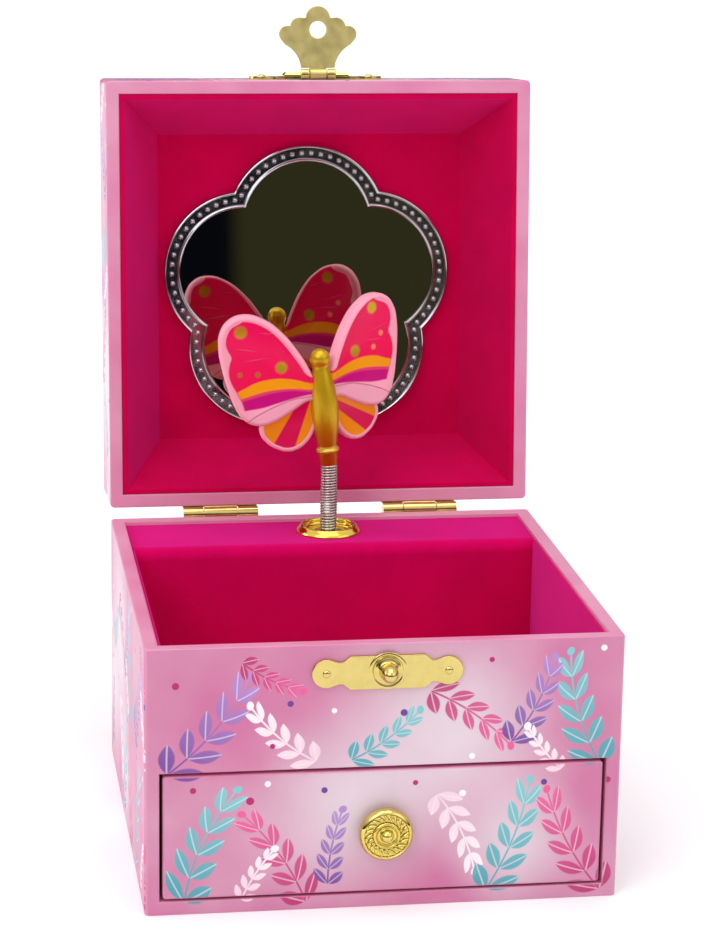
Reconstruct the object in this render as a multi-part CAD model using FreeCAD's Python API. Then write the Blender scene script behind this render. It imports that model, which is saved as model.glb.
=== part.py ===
import FreeCAD, Part
import math
import os

V = FreeCAD.Vector

# Musical jewellery box with a drawer, a hinged lid and a figure that pops up on a spring.
# Origin: centre of the underside. X to the right seen from the front, Y to the back, Z up.
# Millimetres.

# Case
case_width = 110.0
case_depth = 110.0
body_height = 63.7
wall = 3.4
corner_radius = 1.2
base_thickness = 3.25
drawer_opening_height = 30.9
floor_thickness = 2.5
partition_thickness = 2.5
tray_card = 0.8
tray_card_drop = 0.8

# Movement bay: its flocked cover is the shelf that the figure stands on
bay_depth = 23.4
cover_thickness = 2.0
cover_drop = 1.0
cover_nose_radius = 3.0

# Lid
lid_height = 26.0
lid_gap = 0.3
lid_open_angle = 95.4
lid_card = 1.2
lid_back_card = 2.0
lid_lining_inset = 10.1
lid_lining_recess = 0.4

# Mirror: a five-lobed flower
mirror_lobes = 5
mirror_lobe_radius = 21.2
mirror_margin = 1.5
mirror_frame_width = 4.2
mirror_frame_height = 2.2
mirror_glass_thickness = 1.2
mirror_glass_clearance = 0.2
mirror_middle_x = -1.0
mirror_middle_y = 1.2

# Lid hinges
hinge_length = 19.5
hinge_offset = 26.3
hinge_leaf_height = 9.0
hinge_leaf_thickness = 0.6
hinge_knuckle_radius = 1.8
hinge_end_knuckle = 5.2
hinge_standoff = 0.2
hinge_pin_radius = 0.6
hinge_nail_spacing = 12.0
hinge_nail_drop = 5.6

# Clearances
running_clearance = 0.06
knuckle_clearance = 0.25
seat_clearance = 0.05

# Turned brass and the figure's body have flats, and curved wing edges are drawn in straight parts
turning_flats = 24
edge_parts = 4

# Nails and screws
nail_head_radius = 0.95
nail_head_height = 0.55
screw_head_radius = 1.5
screw_head_height = 0.9

# Catch plate and hasp leaf share one outline
plate_width = 34.6
plate_height = 7.9
plate_thickness = 0.8
plate_block_width = 20.3
plate_shoulder = 1.55
plate_neck_length = 1.0
plate_neck_height = 5.2
plate_lobe_height = 5.9
plate_lobe_length = 5.0
plate_nail_offset = 14.0
catch_plate_drop = 0.4
catch_stud_radius = 2.05
catch_stud_length = 5.0
catch_taper = 2.1
catch_brow_radius = 1.6
catch_tip_radius = 0.7
catch_foot_radius = 2.75
catch_foot_height = 0.35
catch_collar_radius = 4.4
catch_collar_height = 0.3

# Hasp flap
hasp_axis_height = 4.7
hasp_knuckle_radius = 1.3
hasp_knuckle_width = 9.0
hasp_flap_knuckle = 4.3
hasp_pin_radius = 0.5
hasp_standoff = 0.2
hasp_flap_thickness = 0.9
hasp_flap_rise = 0.4
hasp_hole_distance = 11.3
hasp_hole_clearance = 0.15
hasp_length = 17.3
hasp_crown = 2.95
hasp_lobe_height = 1.9
hasp_tip_height = 5.4
hasp_tip_drop = 2.1
hasp_lobe_round = 1.6
hasp_tip_width = 20.3
hasp_jaw_width = 16.4
hasp_flank_bow = 0.8
hasp_lobe_width = 14.4
hasp_top_width = 6.3
hasp_base_width = 16.9
hasp_base_height = 1.0
hasp_base_chamfer = 0.6

# Drawer
drawer_gap = 0.75
drawer_bottom_gap = 0.5
drawer_front_edge = 0.8
drawer_side_gap = 1.2
drawer_runner_gap = 0.25
drawer_back_gap = 1.0
drawer_side_height = 26.0
drawer_board = 2.5
drawer_bottom_board = 2.0
drawer_card = 0.8

# Drawer knob
knob_height = 18.7
knob_radius = 6.3
knob_reach = 5.0
knob_stem_radius = 2.2
knob_rim_radius = 1.25
knob_ball_radius = 2.1

# Figure ring on the shelf
ring_flange_radius = 8.25
ring_flange_height = 0.8
ring_bead_height = 1.2
ring_bore_radius = 5.4
ring_wall = 0.8
ring_tail = 1.2
ring_eye_clearance = 0.4
ring_dish = 0.3

# Spindle, spring and figure stand on one upright axis
figure_setback = 13.0
spindle_radius = 1.2
spindle_hub_radius = 2.7
spindle_hub_height = 1.6
spindle_post_radius = 1.1
spindle_post_height = 3.5
spring_radius = 2.05
spring_wire = 0.5
spring_wire_sides = 6
spring_pitch = 1.2
spring_end_opening = 0.1
spring_height = 17.1
spring_sink = 0.2
figure_lean = 5.66
figure_spin = 15.46
wing_sweep = 16.36
wing_reach = 25.4
wing_height = 41.6
wing_root = 1.6
wing_thickness = 3.6
wing_edge_radius = 1.1
wing_step = 0.5
foot_bottom_radius = 1.9
foot_top_radius = 2.5
foot_height = 3.7
collar_radius = 2.95
collar_height = 1.2
torso_radius = 3.65
torso_height = 20.7
neck_radius = 2.07
neck_height = 1.0
head_radius = 2.6
ball_band_count = 4

# Musical movement: barrel, pinned cylinder, comb, governor, spindle drive
movement_height = 32.0
bed_thickness = 1.6
bed_left = 16.0
bed_right = 47.0
bed_floor_gap = 1.75
bed_high = 20.0
bed_screw_inset = 4.0
gear_module = 0.8
crown_teeth = 32
pinion_teeth = 8
pinion_width = 3.0
tooth_tip = 0.5
tooth_root = 0.9
tooth_addendum = 0.5
tooth_dedendum = 1.0
tooth_bottom_gap = 0.3
crown_face_width = 2.4
drum_length = 7.0
drum_wall = 1.0
drum_lip = 0.4
drum_cap = 1.0
drum_cap_gap = 0.1
arbor_radius = 2.0
arbor_boss_radius = 4.0
mainspring_turns = 2
mainspring_strip = 0.4
mainspring_side_gap = 0.3
cylinder_radius = 6.5
cylinder_length = 20.0
cylinder_pin_width = 0.4
cylinder_pin_height = 0.5
cylinder_arbor_radius = 0.9
bracket_thickness = 1.5
bracket_height = 7.0
bracket_gap = 0.6
bracket_nose_share = 0.6
comb_notes = 18
comb_thickness = 0.8
comb_tooth_share = 0.78
comb_tip_gap = 0.15
comb_tooth_length = 10.5
comb_back_height = 5.5
comb_post_depth = 1.0
comb_screw_inset = 4.0
worm_wheel_teeth = 30
worm_module = 0.4
worm_wheel_width = 1.6
worm_wheel_addendum = 0.3
worm_wheel_dedendum = 0.5
worm_pitch_radius = 1.4
worm_core_radius = 0.95
worm_outer_radius = 1.7
worm_thread_tip = 0.3
worm_thread_root = 0.5
worm_thread_sink = 0.2
worm_length = 3.2
worm_pivot_radius = 0.6
fan_radius = 3.3
fan_height = 4.0
fan_thickness = 0.5
fan_gap = 1.2
governor_arm_thickness = 1.5
governor_arm_width = 2.6

# Winding key
key_stem_radius = 2.9
key_stem_length = 6.0
key_hole_clearance = 0.6
key_stand_off = 0.8
key_wing_width = 20.0
key_wing_height = 12.0
key_wing_thickness = 1.6
key_wing_sink = 1.0
key_wing_flare = 0.8

# Places worked out from the sizes
half_width = case_width / 2
half_depth = case_depth / 2
inner_x = half_width - wall
inner_y = half_depth - wall
opening_top = base_thickness + drawer_opening_height
floor_top = opening_top + floor_thickness
bay_front = inner_y - bay_depth
shelf_top = body_height - cover_drop
lid_bottom = body_height + lid_gap
lid_top = lid_bottom + lid_height
lid_panel = lid_top - wall - lid_back_card
panel_half = min(inner_x, inner_y) - lid_lining_inset - lid_card
mirror_lobe_distance = panel_half - mirror_margin - mirror_lobe_radius
hinge_y = half_depth + hinge_standoff + hinge_knuckle_radius
hinge_z = body_height + lid_gap / 2
figure_y = half_depth - figure_setback
hub_top = shelf_top + spring_sink
figure_z = hub_top + spring_height
hasp_y = -half_depth - hasp_standoff - hasp_knuckle_radius
hasp_z = lid_bottom + hasp_axis_height
catch_z = hasp_z - hasp_hole_distance
catch_hole_radius = catch_stud_radius + hasp_hole_clearance
bed_front = inner_y - bed_thickness
bed_bottom = base_thickness + bed_floor_gap
bed_top = movement_height + bed_high
crown_radius = gear_module * crown_teeth / 2
pinion_radius = gear_module * pinion_teeth / 2
crown_base = figure_y - pinion_radius - tooth_addendum - tooth_bottom_gap
drum_front = crown_base - drum_length
drum_radius = crown_radius + crown_face_width / 2 + drum_lip
cylinder_left = crown_radius + pinion_width / 2 + bracket_thickness + 2 * bracket_gap
cylinder_right = cylinder_left + cylinder_length
wheel_left = cylinder_right + 2 * bracket_gap
wheel_right = wheel_left + worm_wheel_width
wheel_radius = worm_module * worm_wheel_teeth / 2
worm_x = (wheel_left + wheel_right) / 2
worm_y = figure_y - wheel_radius - worm_pitch_radius
pin_reach = cylinder_radius + cylinder_pin_height
comb_tip = movement_height - pin_reach - comb_tip_gap
comb_root = comb_tip - comb_tooth_length
comb_low = comb_root - comb_back_height


def block(x0, x1, y0, y1, z0, z1):
    return Part.makeBox(x1 - x0, y1 - y0, z1 - z0, V(x0, y0, z0))


def rod(radius, start, end):
    run = end.sub(start)
    return Part.makeCylinder(radius, run.Length, start, run)


def joined(shapes):
    return shapes[0].multiFuse(shapes[1:]).removeSplitter()


def outline(start, *steps):
    """Closed face in the XY plane: a step is an end point, or a pair of via and end for an arc."""
    edges = []
    here = V(*start, 0)
    for step in steps + (start,):
        if isinstance(step[0], tuple):
            via, end = (V(*p, 0) for p in step)
            edges.append(Part.Arc(here, via, end).toShape())
        else:
            end = V(*step, 0)
            if here.distanceToPoint(end) < 1e-6:
                continue
            edges.append(Part.makeLine(here, end))
        here = end
    return Part.Face(Part.Wire(edges))


def mirrored(points):
    """The same steps walked back on the other side of X = 0."""
    return [(-x, y) for x, y in reversed(points)]


def upright(plan, z0, z1):
    face = outline(*plan)
    face.translate(V(0, 0, z0))
    return face.extrude(V(0, 0, z1 - z0))


def facing_front(face, y, thickness, z):
    """Stand a plan up in XZ at height z, its back on plane y, growing to the front."""
    solid = face.extrude(V(0, 0, thickness))
    solid.rotate(V(0, 0, 0), V(1, 0, 0), 90)
    solid.translate(V(0, y, z))
    return solid


def turned(profile, base, axis):
    """Turn a closed profile of radius and height about an axis from base, with flats in place of a round."""
    def corner(point, flat):
        angle = 2 * math.pi * (flat % turning_flats) / turning_flats
        return V(point[0] * math.cos(angle), point[1], point[0] * math.sin(angle))

    faces = []
    for near, far in zip(profile, profile[1:] + profile[:1]):
        if near[0] == far[0] == 0:
            continue
        for i in range(turning_flats):
            corners = [corner(near, i), corner(far, i), corner(far, i + 1), corner(near, i + 1)]
            corners = [c for n, c in enumerate(corners) if not c.isEqual(corners[n - 1], 1e-6)]
            faces.append(Part.Face(Part.makePolygon(corners + corners[:1])))
    solid = Part.Solid(Part.Shell(faces))
    if solid.Volume < 0:
        solid.reverse()
    solid = solid.removeSplitter()
    solid.Placement = FreeCAD.Placement(base, FreeCAD.Rotation(V(0, 1, 0), axis))
    return solid


def ball_bands(neck, ball, middle):
    """Profile of a ball on a neck, in bands, from where the neck meets it to its pole."""
    start = -math.acos(neck / ball)
    angles = [start + (math.pi / 2 - start) * i / ball_band_count for i in range(ball_band_count + 1)]
    return [(ball * math.cos(a), middle + ball * math.sin(a)) for a in angles[:-1]] + [(0, middle + ball)]


def opened(shape):
    """Swing a piece of the closed lid to the open rest position."""
    swung = shape.copy()
    swung.rotate(V(0, hinge_y, hinge_z), V(1, 0, 0), -lid_open_angle)
    return swung


def heads(spots, outward, radius, height, sides):
    """Nail or screw heads seated on a plate that faces along Y."""
    corners = [V(radius * math.cos(a), 0, radius * math.sin(a))
               for a in (2 * math.pi * (i + 0.5) / sides for i in range(sides))]
    face = Part.Face(Part.makePolygon(corners + corners[:1]))
    solids = []
    for spot in spots:
        solid = face.extrude(outward * height)
        solid.translate(spot)
        solids.append(solid)
    return Part.makeCompound(solids)


def nail_heads(spots, outward):
    return heads(spots, outward, nail_head_radius, nail_head_height, 8)


def screw_heads(spots, outward):
    return heads(spots, outward, screw_head_radius, screw_head_height, 6)


# Case boards

def mitred_plans(x, y, width):
    """Four boards of a frame with mitred corners, seen from above."""
    u, v = x - width, y - width
    return {
        "front": [(-x, -y), (x, -y), (u, -v), (-u, -v)],
        "back": [(-x, y), (-u, v), (u, v), (x, y)],
        "left": [(-x, -y), (-u, -v), (-u, v), (-x, y)],
        "right": [(x, -y), (x, y), (u, v), (u, -v)],
    }


def rounded_case(z0, z1, round_top):
    solid = block(-half_width, half_width, -half_depth, half_depth, z0, z1)
    edges = [e for e in solid.Edges
             if abs(e.tangentAt(e.FirstParameter).z) > 0.5
             or (round_top and abs(e.CenterOfMass.z - z1) < 1e-6)]
    return solid.makeFillet(corner_radius, edges)


def hinge_nail_spots(z):
    y = half_depth + hinge_leaf_thickness
    return [V(side * hinge_offset + end * hinge_nail_spacing / 2, y, z)
            for side in (-1, 1) for end in (-1, 1)]


def plate_nail_spots(z):
    return [V(end * plate_nail_offset, -half_depth - plate_thickness, z) for end in (-1, 1)]


FORWARD = V(0, -1, 0)
BACKWARD = V(0, 1, 0)
BOX_NAIL_Z = hinge_z - hinge_nail_drop
LID_NAIL_Z = hinge_z + hinge_nail_drop
HASP_LEAF_Z = hasp_z + hasp_knuckle_radius + plate_height / 2


def bed_screw_spots():
    inset = bed_screw_inset
    return [V(x, bed_front, z) for x in (-bed_left + inset, bed_right - inset)
            for z in (bed_bottom + inset, bed_top - inset)]


def case_boards():
    envelope = rounded_case(0, body_height, False)
    plans = mitred_plans(half_width, half_depth, wall)
    boards = {
        "front_rail": upright(plans["front"], opening_top, body_height),
        "back_panel": upright(plans["back"], 0, body_height),
    }
    for side, sign in (("left", -1), ("right", 1)):
        lower = block(-half_width, -inner_x, -half_depth, inner_y, 0, opening_top)
        corner = upright([(-half_width, inner_y), (-inner_x, inner_y), (-half_width, half_depth)],
                         0, opening_top)
        if sign > 0:
            lower = lower.mirror(V(0, 0, 0), V(1, 0, 0))
            corner = corner.mirror(V(0, 0, 0), V(1, 0, 0))
        upper = upright(plans[side], opening_top, body_height)
        boards[side + "_side"] = joined([upper, lower, corner])
    boards["base_panel"] = block(-inner_x, inner_x, -half_depth, inner_y, 0, base_thickness)
    boards = {name: board.common(envelope) for name, board in boards.items()}

    key_hole = rod(key_stem_radius + key_hole_clearance, V(0, inner_y, movement_height),
                   V(0, half_depth, movement_height))
    boards["back_panel"] = boards["back_panel"].cut(key_hole)

    boards["compartment_floor"] = block(-inner_x, inner_x, -inner_y, bay_front + partition_thickness,
                                        opening_top, floor_top)
    boards["bay_partition"] = block(-inner_x, inner_x, bay_front, bay_front + partition_thickness,
                                    base_thickness, opening_top)
    return boards


def movement_cover():
    """Flocked shelf and front skirt in one bent piece, with the hole for the figure ring."""
    y0, z1, r, t = bay_front, shelf_top, cover_nose_radius, cover_thickness
    bend = math.sqrt(0.5)
    inner = r - t
    face = outline(
        (y0, floor_top), (y0 + t, floor_top), (y0 + t, z1 - r),
        ((y0 + r - inner * bend, z1 - r + inner * bend), (y0 + r, z1 - t)),
        (inner_y, z1 - t), (inner_y, z1), (y0 + r, z1),
        ((y0 + r - r * bend, z1 - r + r * bend), (y0, z1 - r)))
    solid = face.extrude(V(0, 0, 2 * inner_x))
    solid.Placement = FreeCAD.Placement(
        V(-inner_x, 0, 0), FreeCAD.Rotation(V(0, 1, 0), V(0, 0, 1), V(1, 0, 0), "XYZ"))
    hole = rod(ring_bore_radius + ring_wall + seat_clearance,
               V(0, figure_y, shelf_top - cover_thickness), V(0, figure_y, shelf_top))
    return solid.cut(hole)


def tray_lining():
    """Flocked cards: floor, two sides and front."""
    low = floor_top + tray_card
    high = body_height - tray_card_drop
    side_x = inner_x - tray_card
    cards = [
        block(-inner_x, inner_x, -inner_y, bay_front, floor_top, low),
        block(-inner_x, -side_x, -inner_y, bay_front, low, high),
        block(side_x, inner_x, -inner_y, bay_front, low, high),
        block(-side_x, side_x, -inner_y, tray_card - inner_y, low, high),
    ]
    return Part.makeCompound(cards)


def figure_ring():
    """Brass eyelet: flange, raised bead, dished floor and a tail through the shelf."""
    bore, outer, eye = ring_bore_radius, ring_bore_radius + ring_wall, spindle_hub_radius + ring_eye_clearance
    low, step = -cover_thickness - ring_tail, ring_flange_height
    top = step + ring_bead_height
    crest = outer + ring_bead_height / 2
    profile = [
        (bore, low), (outer, low), (outer, 0), (ring_flange_radius, 0),
        (ring_flange_radius - step / 2, step), (outer + ring_bead_height, step),
        (crest, top), (bore, top), (bore, 0), (eye, -ring_dish), (eye, -ring_dish - ring_wall),
        (bore, -ring_dish - ring_wall)]
    return turned(profile, V(0, figure_y, shelf_top), V(0, 0, 1))


# Brass catch and hasp

def plate_outline():
    half, tall = plate_width / 2, plate_height / 2
    shoulder = plate_block_width / 2
    neck, lobe = plate_neck_height / 2, plate_lobe_height / 2
    start = half - plate_lobe_length
    quarter = [(shoulder - plate_shoulder, tall), (shoulder, neck),
               (shoulder + plate_neck_length, neck), (start, lobe)]
    lower = [(x, -y) for x, y in quarter]
    return outline(*mirrored(quarter), *quarter, ((half, 0), lower[-1]), *reversed(lower[:-1]),
                   *[(-x, y) for x, y in lower], ((-half, 0), (-start, lobe)))


def catch_plate():
    return facing_front(plate_outline(), -half_depth, plate_thickness, catch_z - catch_plate_drop)


def catch_stud():
    """Collar, flared foot and blunt post, turned in one piece on an axis towards the front."""
    foot, end = catch_collar_height + catch_foot_height, catch_collar_height + catch_stud_length
    profile = [
        (0, 0), (catch_collar_radius, 0), (catch_collar_radius, catch_collar_height),
        (catch_foot_radius, catch_collar_height), (catch_stud_radius, foot), (catch_stud_radius, end - catch_taper),
        (catch_brow_radius, end - catch_taper / 3), (catch_tip_radius, end), (0, end)]
    return turned(profile, V(0, -half_depth - plate_thickness, catch_z), FORWARD)


def hasp_leaf():
    """Leaf on the lid front, with a raised base and two lugs that hold the flap's pin."""
    plate = facing_front(plate_outline(), -half_depth, plate_thickness, HASP_LEAF_Z)
    half = hasp_base_width / 2
    y = -half_depth - plate_thickness
    rise = plate_height / 2 - plate_shoulder
    base = block(-half, half, y - hasp_base_height, y, HASP_LEAF_Z - rise, HASP_LEAF_Z + rise)
    base = base.makeChamfer(hasp_base_chamfer,
                            [e for e in base.Edges if e.CenterOfMass.y < y - hasp_base_height + 1e-6])
    pieces = [plate, base]
    for side in (-1, 1):
        inner = hasp_flap_knuckle / 2 + knuckle_clearance
        ends = sorted((side * inner, side * hasp_knuckle_width / 2))
        pieces.append(rod(hasp_knuckle_radius, V(ends[0], hasp_y, hasp_z), V(ends[1], hasp_y, hasp_z)))
        pieces.append(block(ends[0], ends[1], -half_depth - plate_thickness, -half_depth,
                            hasp_z, HASP_LEAF_Z))
        pieces.append(block(ends[0], ends[1], hasp_y, -half_depth, hasp_z, hasp_z + hasp_knuckle_radius))
    bore = rod(hasp_pin_radius + seat_clearance, V(-plate_width, hasp_y, hasp_z),
               V(plate_width, hasp_y, hasp_z))
    return joined(pieces).cut(bore)


def hasp_flap():
    """Fan-shaped flap, drawn standing straight out from the closed lid."""
    neck = hasp_knuckle_width / 2 - knuckle_clearance
    tip, jaw = hasp_tip_width / 2, hasp_jaw_width / 2
    lobe, top = hasp_lobe_width / 2, hasp_top_width / 2
    foot = hasp_knuckle_radius + knuckle_clearance
    tongue = hasp_flap_knuckle / 2
    brow = hasp_length - hasp_crown
    ear = brow - hasp_lobe_height
    cheek = ear - hasp_tip_height
    flank = ((neck + jaw) / 2 - hasp_flank_bow, (foot + cheek + hasp_flank_bow) / 2)
    soft = hasp_lobe_round
    bow = soft * (1 - math.sqrt(0.5))
    face = outline(
        (tongue, 0), (tongue, foot), (neck, foot), (flank, (jaw, cheek)),
        ((tip, ear - hasp_tip_drop), (tip - soft, ear)), (lobe, ear),
        ((lobe - bow, brow - bow), (lobe - soft, brow)), (top, brow), ((0, hasp_length), (-top, brow)),
        (soft - lobe, brow), ((bow - lobe, brow - bow), (-lobe, ear)), (soft - tip, ear),
        ((-tip, ear - hasp_tip_drop), (-jaw, cheek)), ((-flank[0], flank[1]), (-neck, foot)),
        (-tongue, foot), (-tongue, 0))
    hole = Part.makeCylinder(catch_hole_radius, hasp_flap_thickness, V(0, hasp_hole_distance, 0))
    plate = face.extrude(V(0, 0, hasp_flap_thickness)).cut(hole)
    plate.rotate(V(0, 0, 0), V(0, 0, 1), 180)
    plate.translate(V(0, hasp_y, hasp_z + hasp_flap_rise - hasp_flap_thickness / 2))
    barrel = rod(hasp_knuckle_radius, V(-tongue, hasp_y, hasp_z), V(tongue, hasp_y, hasp_z))
    bore = rod(hasp_pin_radius + running_clearance, V(-plate_width, hasp_y, hasp_z),
               V(plate_width, hasp_y, hasp_z))
    return joined([plate, barrel]).cut(bore)


def hasp_pin():
    half = hasp_knuckle_width / 2
    return rod(hasp_pin_radius, V(-half, hasp_y, hasp_z), V(half, hasp_y, hasp_z))


# Lid hinges

def hinge_knuckles(x, middle):
    """Start and end of the knuckles along X: the middle one, or the two ends."""
    half = hinge_length / 2
    if middle:
        reach = half - hinge_end_knuckle - knuckle_clearance
        return [(x - reach, x + reach)]
    return [(x - half, x - half + hinge_end_knuckle), (x + half - hinge_end_knuckle, x + half)]


def hinge_leaf(x, middle):
    """A leaf of the butt hinge, up from the axis for the lid and down from it for the body."""
    side = 1 if middle else -1
    y0, y1 = half_depth, half_depth + hinge_leaf_thickness
    near = hinge_z + side * (hinge_knuckle_radius + knuckle_clearance)
    far = hinge_z + side * hinge_leaf_height
    half = hinge_length / 2
    pieces = [block(x - half, x + half, y0, y1, min(near, far), max(near, far))]
    for x0, x1 in hinge_knuckles(x, middle):
        pieces.append(block(x0, x1, y0, y1, min(hinge_z, far), max(hinge_z, far)))
        pieces.append(rod(hinge_knuckle_radius, V(x0, hinge_y, hinge_z), V(x1, hinge_y, hinge_z)))
    bore = rod(hinge_pin_radius + running_clearance, V(x - hinge_length, hinge_y, hinge_z),
               V(x + hinge_length, hinge_y, hinge_z))
    return joined(pieces).cut(bore)


def hinge_pins():
    half = hinge_length / 2
    return Part.makeCompound([rod(hinge_pin_radius, V(x - half, hinge_y, hinge_z),
                                  V(x + half, hinge_y, hinge_z)) for x in (-hinge_offset, hinge_offset)])


# Lid

def lid_boards():
    envelope = rounded_case(lid_bottom, lid_top, True)
    boards = {"lid_" + side: upright(plan, lid_bottom, lid_top - wall)
              for side, plan in mitred_plans(half_width, half_depth, wall).items()}
    boards["lid_top"] = block(-half_width, half_width, -half_depth, half_depth, lid_top - wall, lid_top)
    return {name: board.common(envelope) for name, board in boards.items()}


def lid_lining():
    """Four sloping flocked cards and a flat one behind the mirror."""
    z0, z1 = lid_bottom + lid_lining_recess, lid_panel
    slope = lid_lining_inset

    def funnel(x, y):
        return Part.makeWedge(-x, z0, -y, slope - y, slope - x, x, z1, y, y - slope, x - slope)

    walls = funnel(inner_x, inner_y).cut(funnel(inner_x - lid_card, inner_y - lid_card))
    walls.rotate(V(0, 0, 0), V(1, 0, 0), 90)
    walls = walls.mirror(V(0, 0, 0), V(0, 1, 0))
    cards = []
    for plan in mitred_plans(inner_x, inner_y, slope + lid_card).values():
        cards.append(walls.common(upright(plan, z0, z1)))
    back_x, back_y = inner_x - slope, inner_y - slope
    cards.append(block(-back_x, back_x, -back_y, back_y, z1, z1 + lid_back_card))
    return Part.makeCompound(cards)


def flower(radius, z0, z1):
    """Five round lobes about the mirror's middle, one of them towards the lid front."""
    pieces = [Part.makeCylinder(mirror_lobe_distance, z1 - z0, V(mirror_middle_x, mirror_middle_y, z0))]
    for i in range(mirror_lobes):
        angle = 2 * math.pi * i / mirror_lobes - math.pi / 2
        centre = V(mirror_middle_x + mirror_lobe_distance * math.cos(angle),
                   mirror_middle_y + mirror_lobe_distance * math.sin(angle), z0)
        pieces.append(Part.makeCylinder(radius, z1 - z0, centre))
    return joined(pieces)


def mirror_frame():
    r, front = mirror_lobe_radius, lid_panel - mirror_frame_height
    return flower(r, front, lid_panel).cut(flower(r - mirror_frame_width, front, lid_panel))


def mirror_glass():
    return flower(mirror_lobe_radius - mirror_frame_width - mirror_glass_clearance,
                  lid_panel - mirror_glass_thickness, lid_panel)


# Drawer

def drawer_sizes():
    side = inner_x - drawer_side_gap
    low = base_thickness + drawer_runner_gap
    front = -inner_y
    back = bay_front - drawer_back_gap
    return side, low, front, back


def drawer_boards():
    side, low, front, back = drawer_sizes()
    high = low + drawer_side_height
    inside = side - drawer_board
    x = inner_x - drawer_gap
    face = block(-x, x, -half_depth, front, base_thickness + drawer_bottom_gap, opening_top - drawer_gap)
    rounded = [e for e in face.Edges if e.CenterOfMass.y < front - 1e-6]
    face = face.makeFillet(drawer_front_edge, rounded)
    floor_high = low + drawer_bottom_board
    return {
        "drawer_front": face,
        "drawer_left_side": block(-side, -inside, front, back, low, high),
        "drawer_right_side": block(inside, side, front, back, low, high),
        "drawer_back": block(-inside, inside, back - drawer_board, back, low, high),
        "drawer_bottom": block(-inside, inside, front, back - drawer_board, low, floor_high),
        "drawer_lining": block(-inside, inside, front, back - drawer_board, floor_high,
                               floor_high + drawer_card),
    }


def drawer_knob():
    """Round brass knob: stem, dished disc with a raised rim, ball in the middle."""
    r, rim, stem, ball = knob_radius, knob_rim_radius, knob_stem_radius, knob_ball_radius
    back = knob_reach - 2 * rim
    crest = knob_reach - rim / 3
    dish = knob_reach - rim
    profile = [
        (0, 0), (stem, 0), (stem, back), (r - rim, back), (r, back + rim),
        (r - rim / 2, crest), (r - rim, crest), (r - 3 * rim / 2, dish),
        *ball_bands(ball, ball, dish)]
    return turned(profile, V(0, -half_depth, knob_height), FORWARD)


# Spring and figure

def biarc(p0, t0, p1, t1):
    """Two tangent arcs from p0 to p1 that leave along t0 and arrive along t1."""
    v = p1.sub(p0)
    t = t0.add(t1)
    a = 2 * (1 - t0.dot(t1))
    b = 2 * v.dot(t)
    d = (-b + math.sqrt(b * b + 4 * a * v.dot(v))) / (2 * a)
    middle = (p0.add(p1).add((t0.sub(t1)) * d)) * 0.5
    arcs = []
    for start, tangent, end in ((p0, t0, middle), (p1, t1.negative(), middle)):
        chord = end.sub(start)
        side = chord.sub(tangent * chord.dot(tangent))
        radius = chord.dot(chord) / (2 * side.Length)
        side.normalize()
        centre = start.add(side * radius)
        half_way = start.add(end) * 0.5
        out = half_way.sub(centre)
        out.normalize()
        arcs.append((start, centre.add(out * radius), end))
    first, second = arcs
    return [Part.Arc(*first).toShape(), Part.Arc(second[2], second[1], second[0]).toShape()]


def pop_up_spring():
    """Steel coil from the spindle hub to the figure's foot, its two ends straight and upright."""
    coil = spring_radius - spring_wire / 2
    lead = spring_pitch / 4 + spring_wire
    straight = spring_wire
    low, high = hub_top + straight, figure_z - straight - seat_clearance
    rise = high - low - 2 * lead - 2 * spring_end_opening
    quarters = 2 * math.floor(2 * rise / spring_pitch)
    pitch = 4 * rise / quarters

    def spot(quarter):
        angle = math.pi / 2 * (quarter + 1)
        ends = min(max(quarter, 0), 4) + min(max(quarter - quarters + 4, 0), 4)
        rise = low + lead + pitch * quarter / 4 + spring_end_opening * ends / 4
        return V(coil * math.cos(angle), figure_y + coil * math.sin(angle), rise)

    def heading(quarter):
        angle = math.pi / 2 * (quarter + 1)
        step = V(-coil * math.sin(angle), coil * math.cos(angle), pitch / (2 * math.pi))
        step.normalize()
        return step

    def beside(quarter, z):
        point = spot(quarter)
        point.z = z
        return point

    up = V(0, 0, 1)
    first, last = beside(-1, low), beside(quarters + 1, high)
    edges = [Part.makeLine(first.sub(up * straight), first)]
    edges += biarc(first, up, spot(0), heading(0))
    for i in range(quarters):
        edges += biarc(spot(i), heading(i), spot(i + 1), heading(i + 1))
    edges += biarc(spot(quarters), heading(quarters), last, up)
    edges.append(Part.makeLine(last, last.add(up * straight)))
    path = Part.Wire(edges)
    start = edges[0].Vertexes[0].Point
    corners = [start.add(V(math.cos(a), math.sin(a), 0) * (spring_wire / 2))
               for a in (2 * math.pi * i / spring_wire_sides for i in range(spring_wire_sides))]
    tube = path.makePipeShell([Part.makePolygon(corners + corners[:1])], True, False)

    points = path.discretize(Distance=spring_wire / 2)
    apart = round(2 * spring_radius / (spring_wire / 2))
    least = min(points[i].distanceToPoint(points[j])
                for i in range(len(points)) for j in range(i + apart, len(points)))
    print("pop_up_spring least gap to itself %.2f mm" % (least - spring_wire))
    area = spring_wire_sides * spring_wire ** 2 / 8 * math.sin(2 * math.pi / spring_wire_sides)
    print("pop_up_spring volume over section times length %.4f" % (tube.Volume / (area * path.Length)))
    return tube


def leaning(shape):
    """Stand a piece of the figure, drawn about Z from height 0, on the spring at rest."""
    leant = shape.copy()
    leant.rotate(V(0, 0, 0), V(0, 0, 1), figure_spin)
    leant.rotate(V(0, 0, 0), V(0, 1, 0), -figure_lean)
    leant.translate(V(0, figure_y, figure_z))
    return leant


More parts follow.
